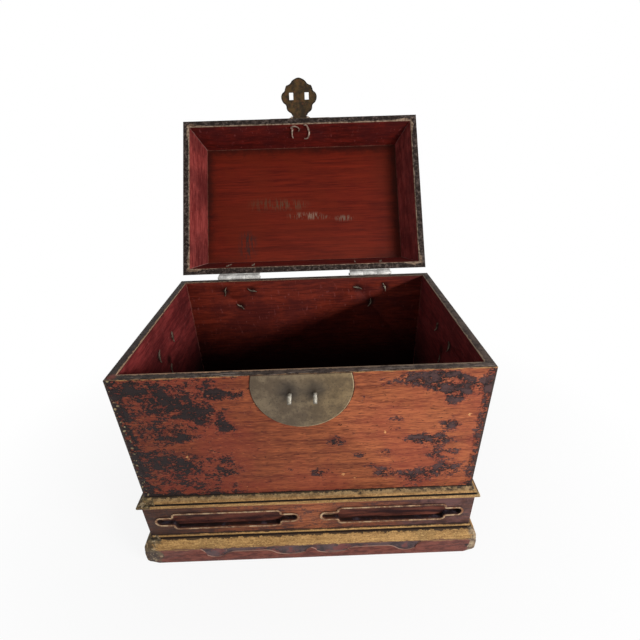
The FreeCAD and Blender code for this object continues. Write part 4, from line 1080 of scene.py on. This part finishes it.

# the eyes of the staples are pale on top, with painted shade below and towards the left
staple_brass, tree = new_material("staple_brass")
place, part = spot_on(tree)
shade, rough, height = aged_metal(tree, place, paint(150, 142, 124), paint(226, 220, 206),
                                  paint(84, 76, 64), 2.4)
own_middle = slide(tree, maths(tree, "GREATER_THAN", part[0], 0.0), -staple_x, staple_x)
# painted shade on the lower part and the left of each eye
dark_side = larger(tree, ease(tree, part[2], 0.2612, 0.2578),
                   ease(tree, minus(tree, part[0], own_middle), 0.0002, -0.0010))
shade = tint(tree, dark_side, 0.8, shade, paint(64, 55, 44))
principled(tree, shade, rough, height, metal=0.5, gloss=0.5)
rubbed("lock_staples", staple_brass, wear=0.0011, pitch=0.05, sharp=30)

# Hasp. A lobed plate of thicker brass with two slots, its top edge rolled into a knuckle that
# turns on a short rod, dark olive where no hand reaches. It leans back by 15 degrees at rest.
hasp_normal = Vector((0, 0.9659, -0.2588))
hasp_lean = 0.268
knuckle_top = 0.52
slot_height = 0.54857
slot_drawn_x = 0.16
slot_drawn_z = 0.2

hasp_bronze, tree = new_material("hasp_bronze")
place = spot_on(tree)[0]
shade, rough, height = aged_metal(tree, place, paint(38, 28, 12), paint(84, 62, 30), paint(28, 21, 12), 1.6)
shade = tint(tree, flecks(tree, place, 240, 4.0, 0.7, 0.56, 0.64), 0.5, shade, paint(104, 60, 36))
# painted shade: faces that turn away from the plate's face, its edges and sunk border, are darkened
facing = spot_on(tree, "Normal")[0]
flat = new_node(tree, "VectorMath", facing, hasp_normal, operation="DOT_PRODUCT").outputs["Value"]
edge_on = ease(tree, maths(tree, "ABSOLUTE", flat), 0.9985, 0.9945)
shade = tint(tree, edge_on, 0.8, shade, paint(22, 15, 9))
principled(tree, shade, rough, height, 0.0004, metal=0.4, gloss=0.3)

# both faces are sunk a little inside a border, and its edge is shaded sharp
plate = rubbed("hasp", hasp_bronze, wear=0.0008, pitch=0.05)
form = opened(plate.data)
flats = [face for face in form.faces if abs(face.normal.dot(hasp_normal)) > 0.999
         and face.calc_center_median().z > knuckle_top]
bmesh.ops.inset_region(form, faces=flats, thickness=0.0024, depth=-0.00032, use_even_offset=True)
closed_up(form, plate.data)
shaded(plate.data, 5)

# its lobes are swelled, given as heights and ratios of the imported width, and the two slots drawn in
swell = ((0.5165, 1.2), (0.519, 1.0), (0.5215, 0.97), (0.5245, 1.05), (0.528, 1.1), (0.532, 1.11),
         (0.536, 1.06), (0.541, 1.035), (0.547, 1.04), (0.553, 1.05), (0.558, 1.02), (0.5615, 1.07),
         (0.565, 1.19), (0.572, 1.17), (0.5765, 1.0))


def swell_at(z):
    for (low, ratio), (high, next_ratio) in zip(swell, swell[1:]):
        if low <= z <= high or high == swell[-1][0]:
            return ratio + (next_ratio - ratio) * min(1, (z - low) / (high - low))


for vert in plate.data.vertices:
    x, y, z = vert.co
    off_slot = abs(x) - staple_x
    if abs(off_slot) < 0.0062 and abs(z - slot_height) < 0.0098:
        rise = (z - slot_height) * -slot_drawn_z
        vert.co.x -= off_slot * (slot_drawn_x if x > 0 else -slot_drawn_x)
        vert.co.z += rise
        vert.co.y += rise * hasp_lean
    elif z > swell[0][0] + 0.0001:
        vert.co.x *= swell_at(z)
dress("hasp_rod", hasp_bronze)

# Hinges. Each has two leaves of pale tarnished metal on knuckles round a pin, fixed by cotters
# that come through the boards.
hinge_metal = metal_finish("hinge_metal", paint(168, 166, 162), paint(226, 224, 218), paint(120, 112, 106),
                           scale=1.4, metal=0.4, gloss=0.5, lift=0.0002)
for side in ("left", "right"):
    rubbed(f"{side}_hinge_case_leaf", hinge_metal, wear=0.0003, pitch=0.05)
    rubbed(f"{side}_hinge_lid_leaf", hinge_metal, wear=0.0003, pitch=0.05)
    dress(f"{side}_hinge_pin", hinge_metal)

# Drop handles. A bail of forged rod on two posts at each end of the case, over a cut brass plate
# that keeps it off the lacquer.
handle_brass = metal_finish("handle_brass", paint(92, 78, 52), paint(146, 128, 92), paint(58, 48, 34),
                            scale=1.5, metal=0.6, gloss=0.4)
for side in ("left", "right"):
    rubbed(f"{side}_handle_plate", handle_brass, wear=0.0004, pitch=0.05)
    dress(f"{side}_bail", handle_brass)

[[list(corner) for corner in box] for box in (cad_box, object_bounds())]
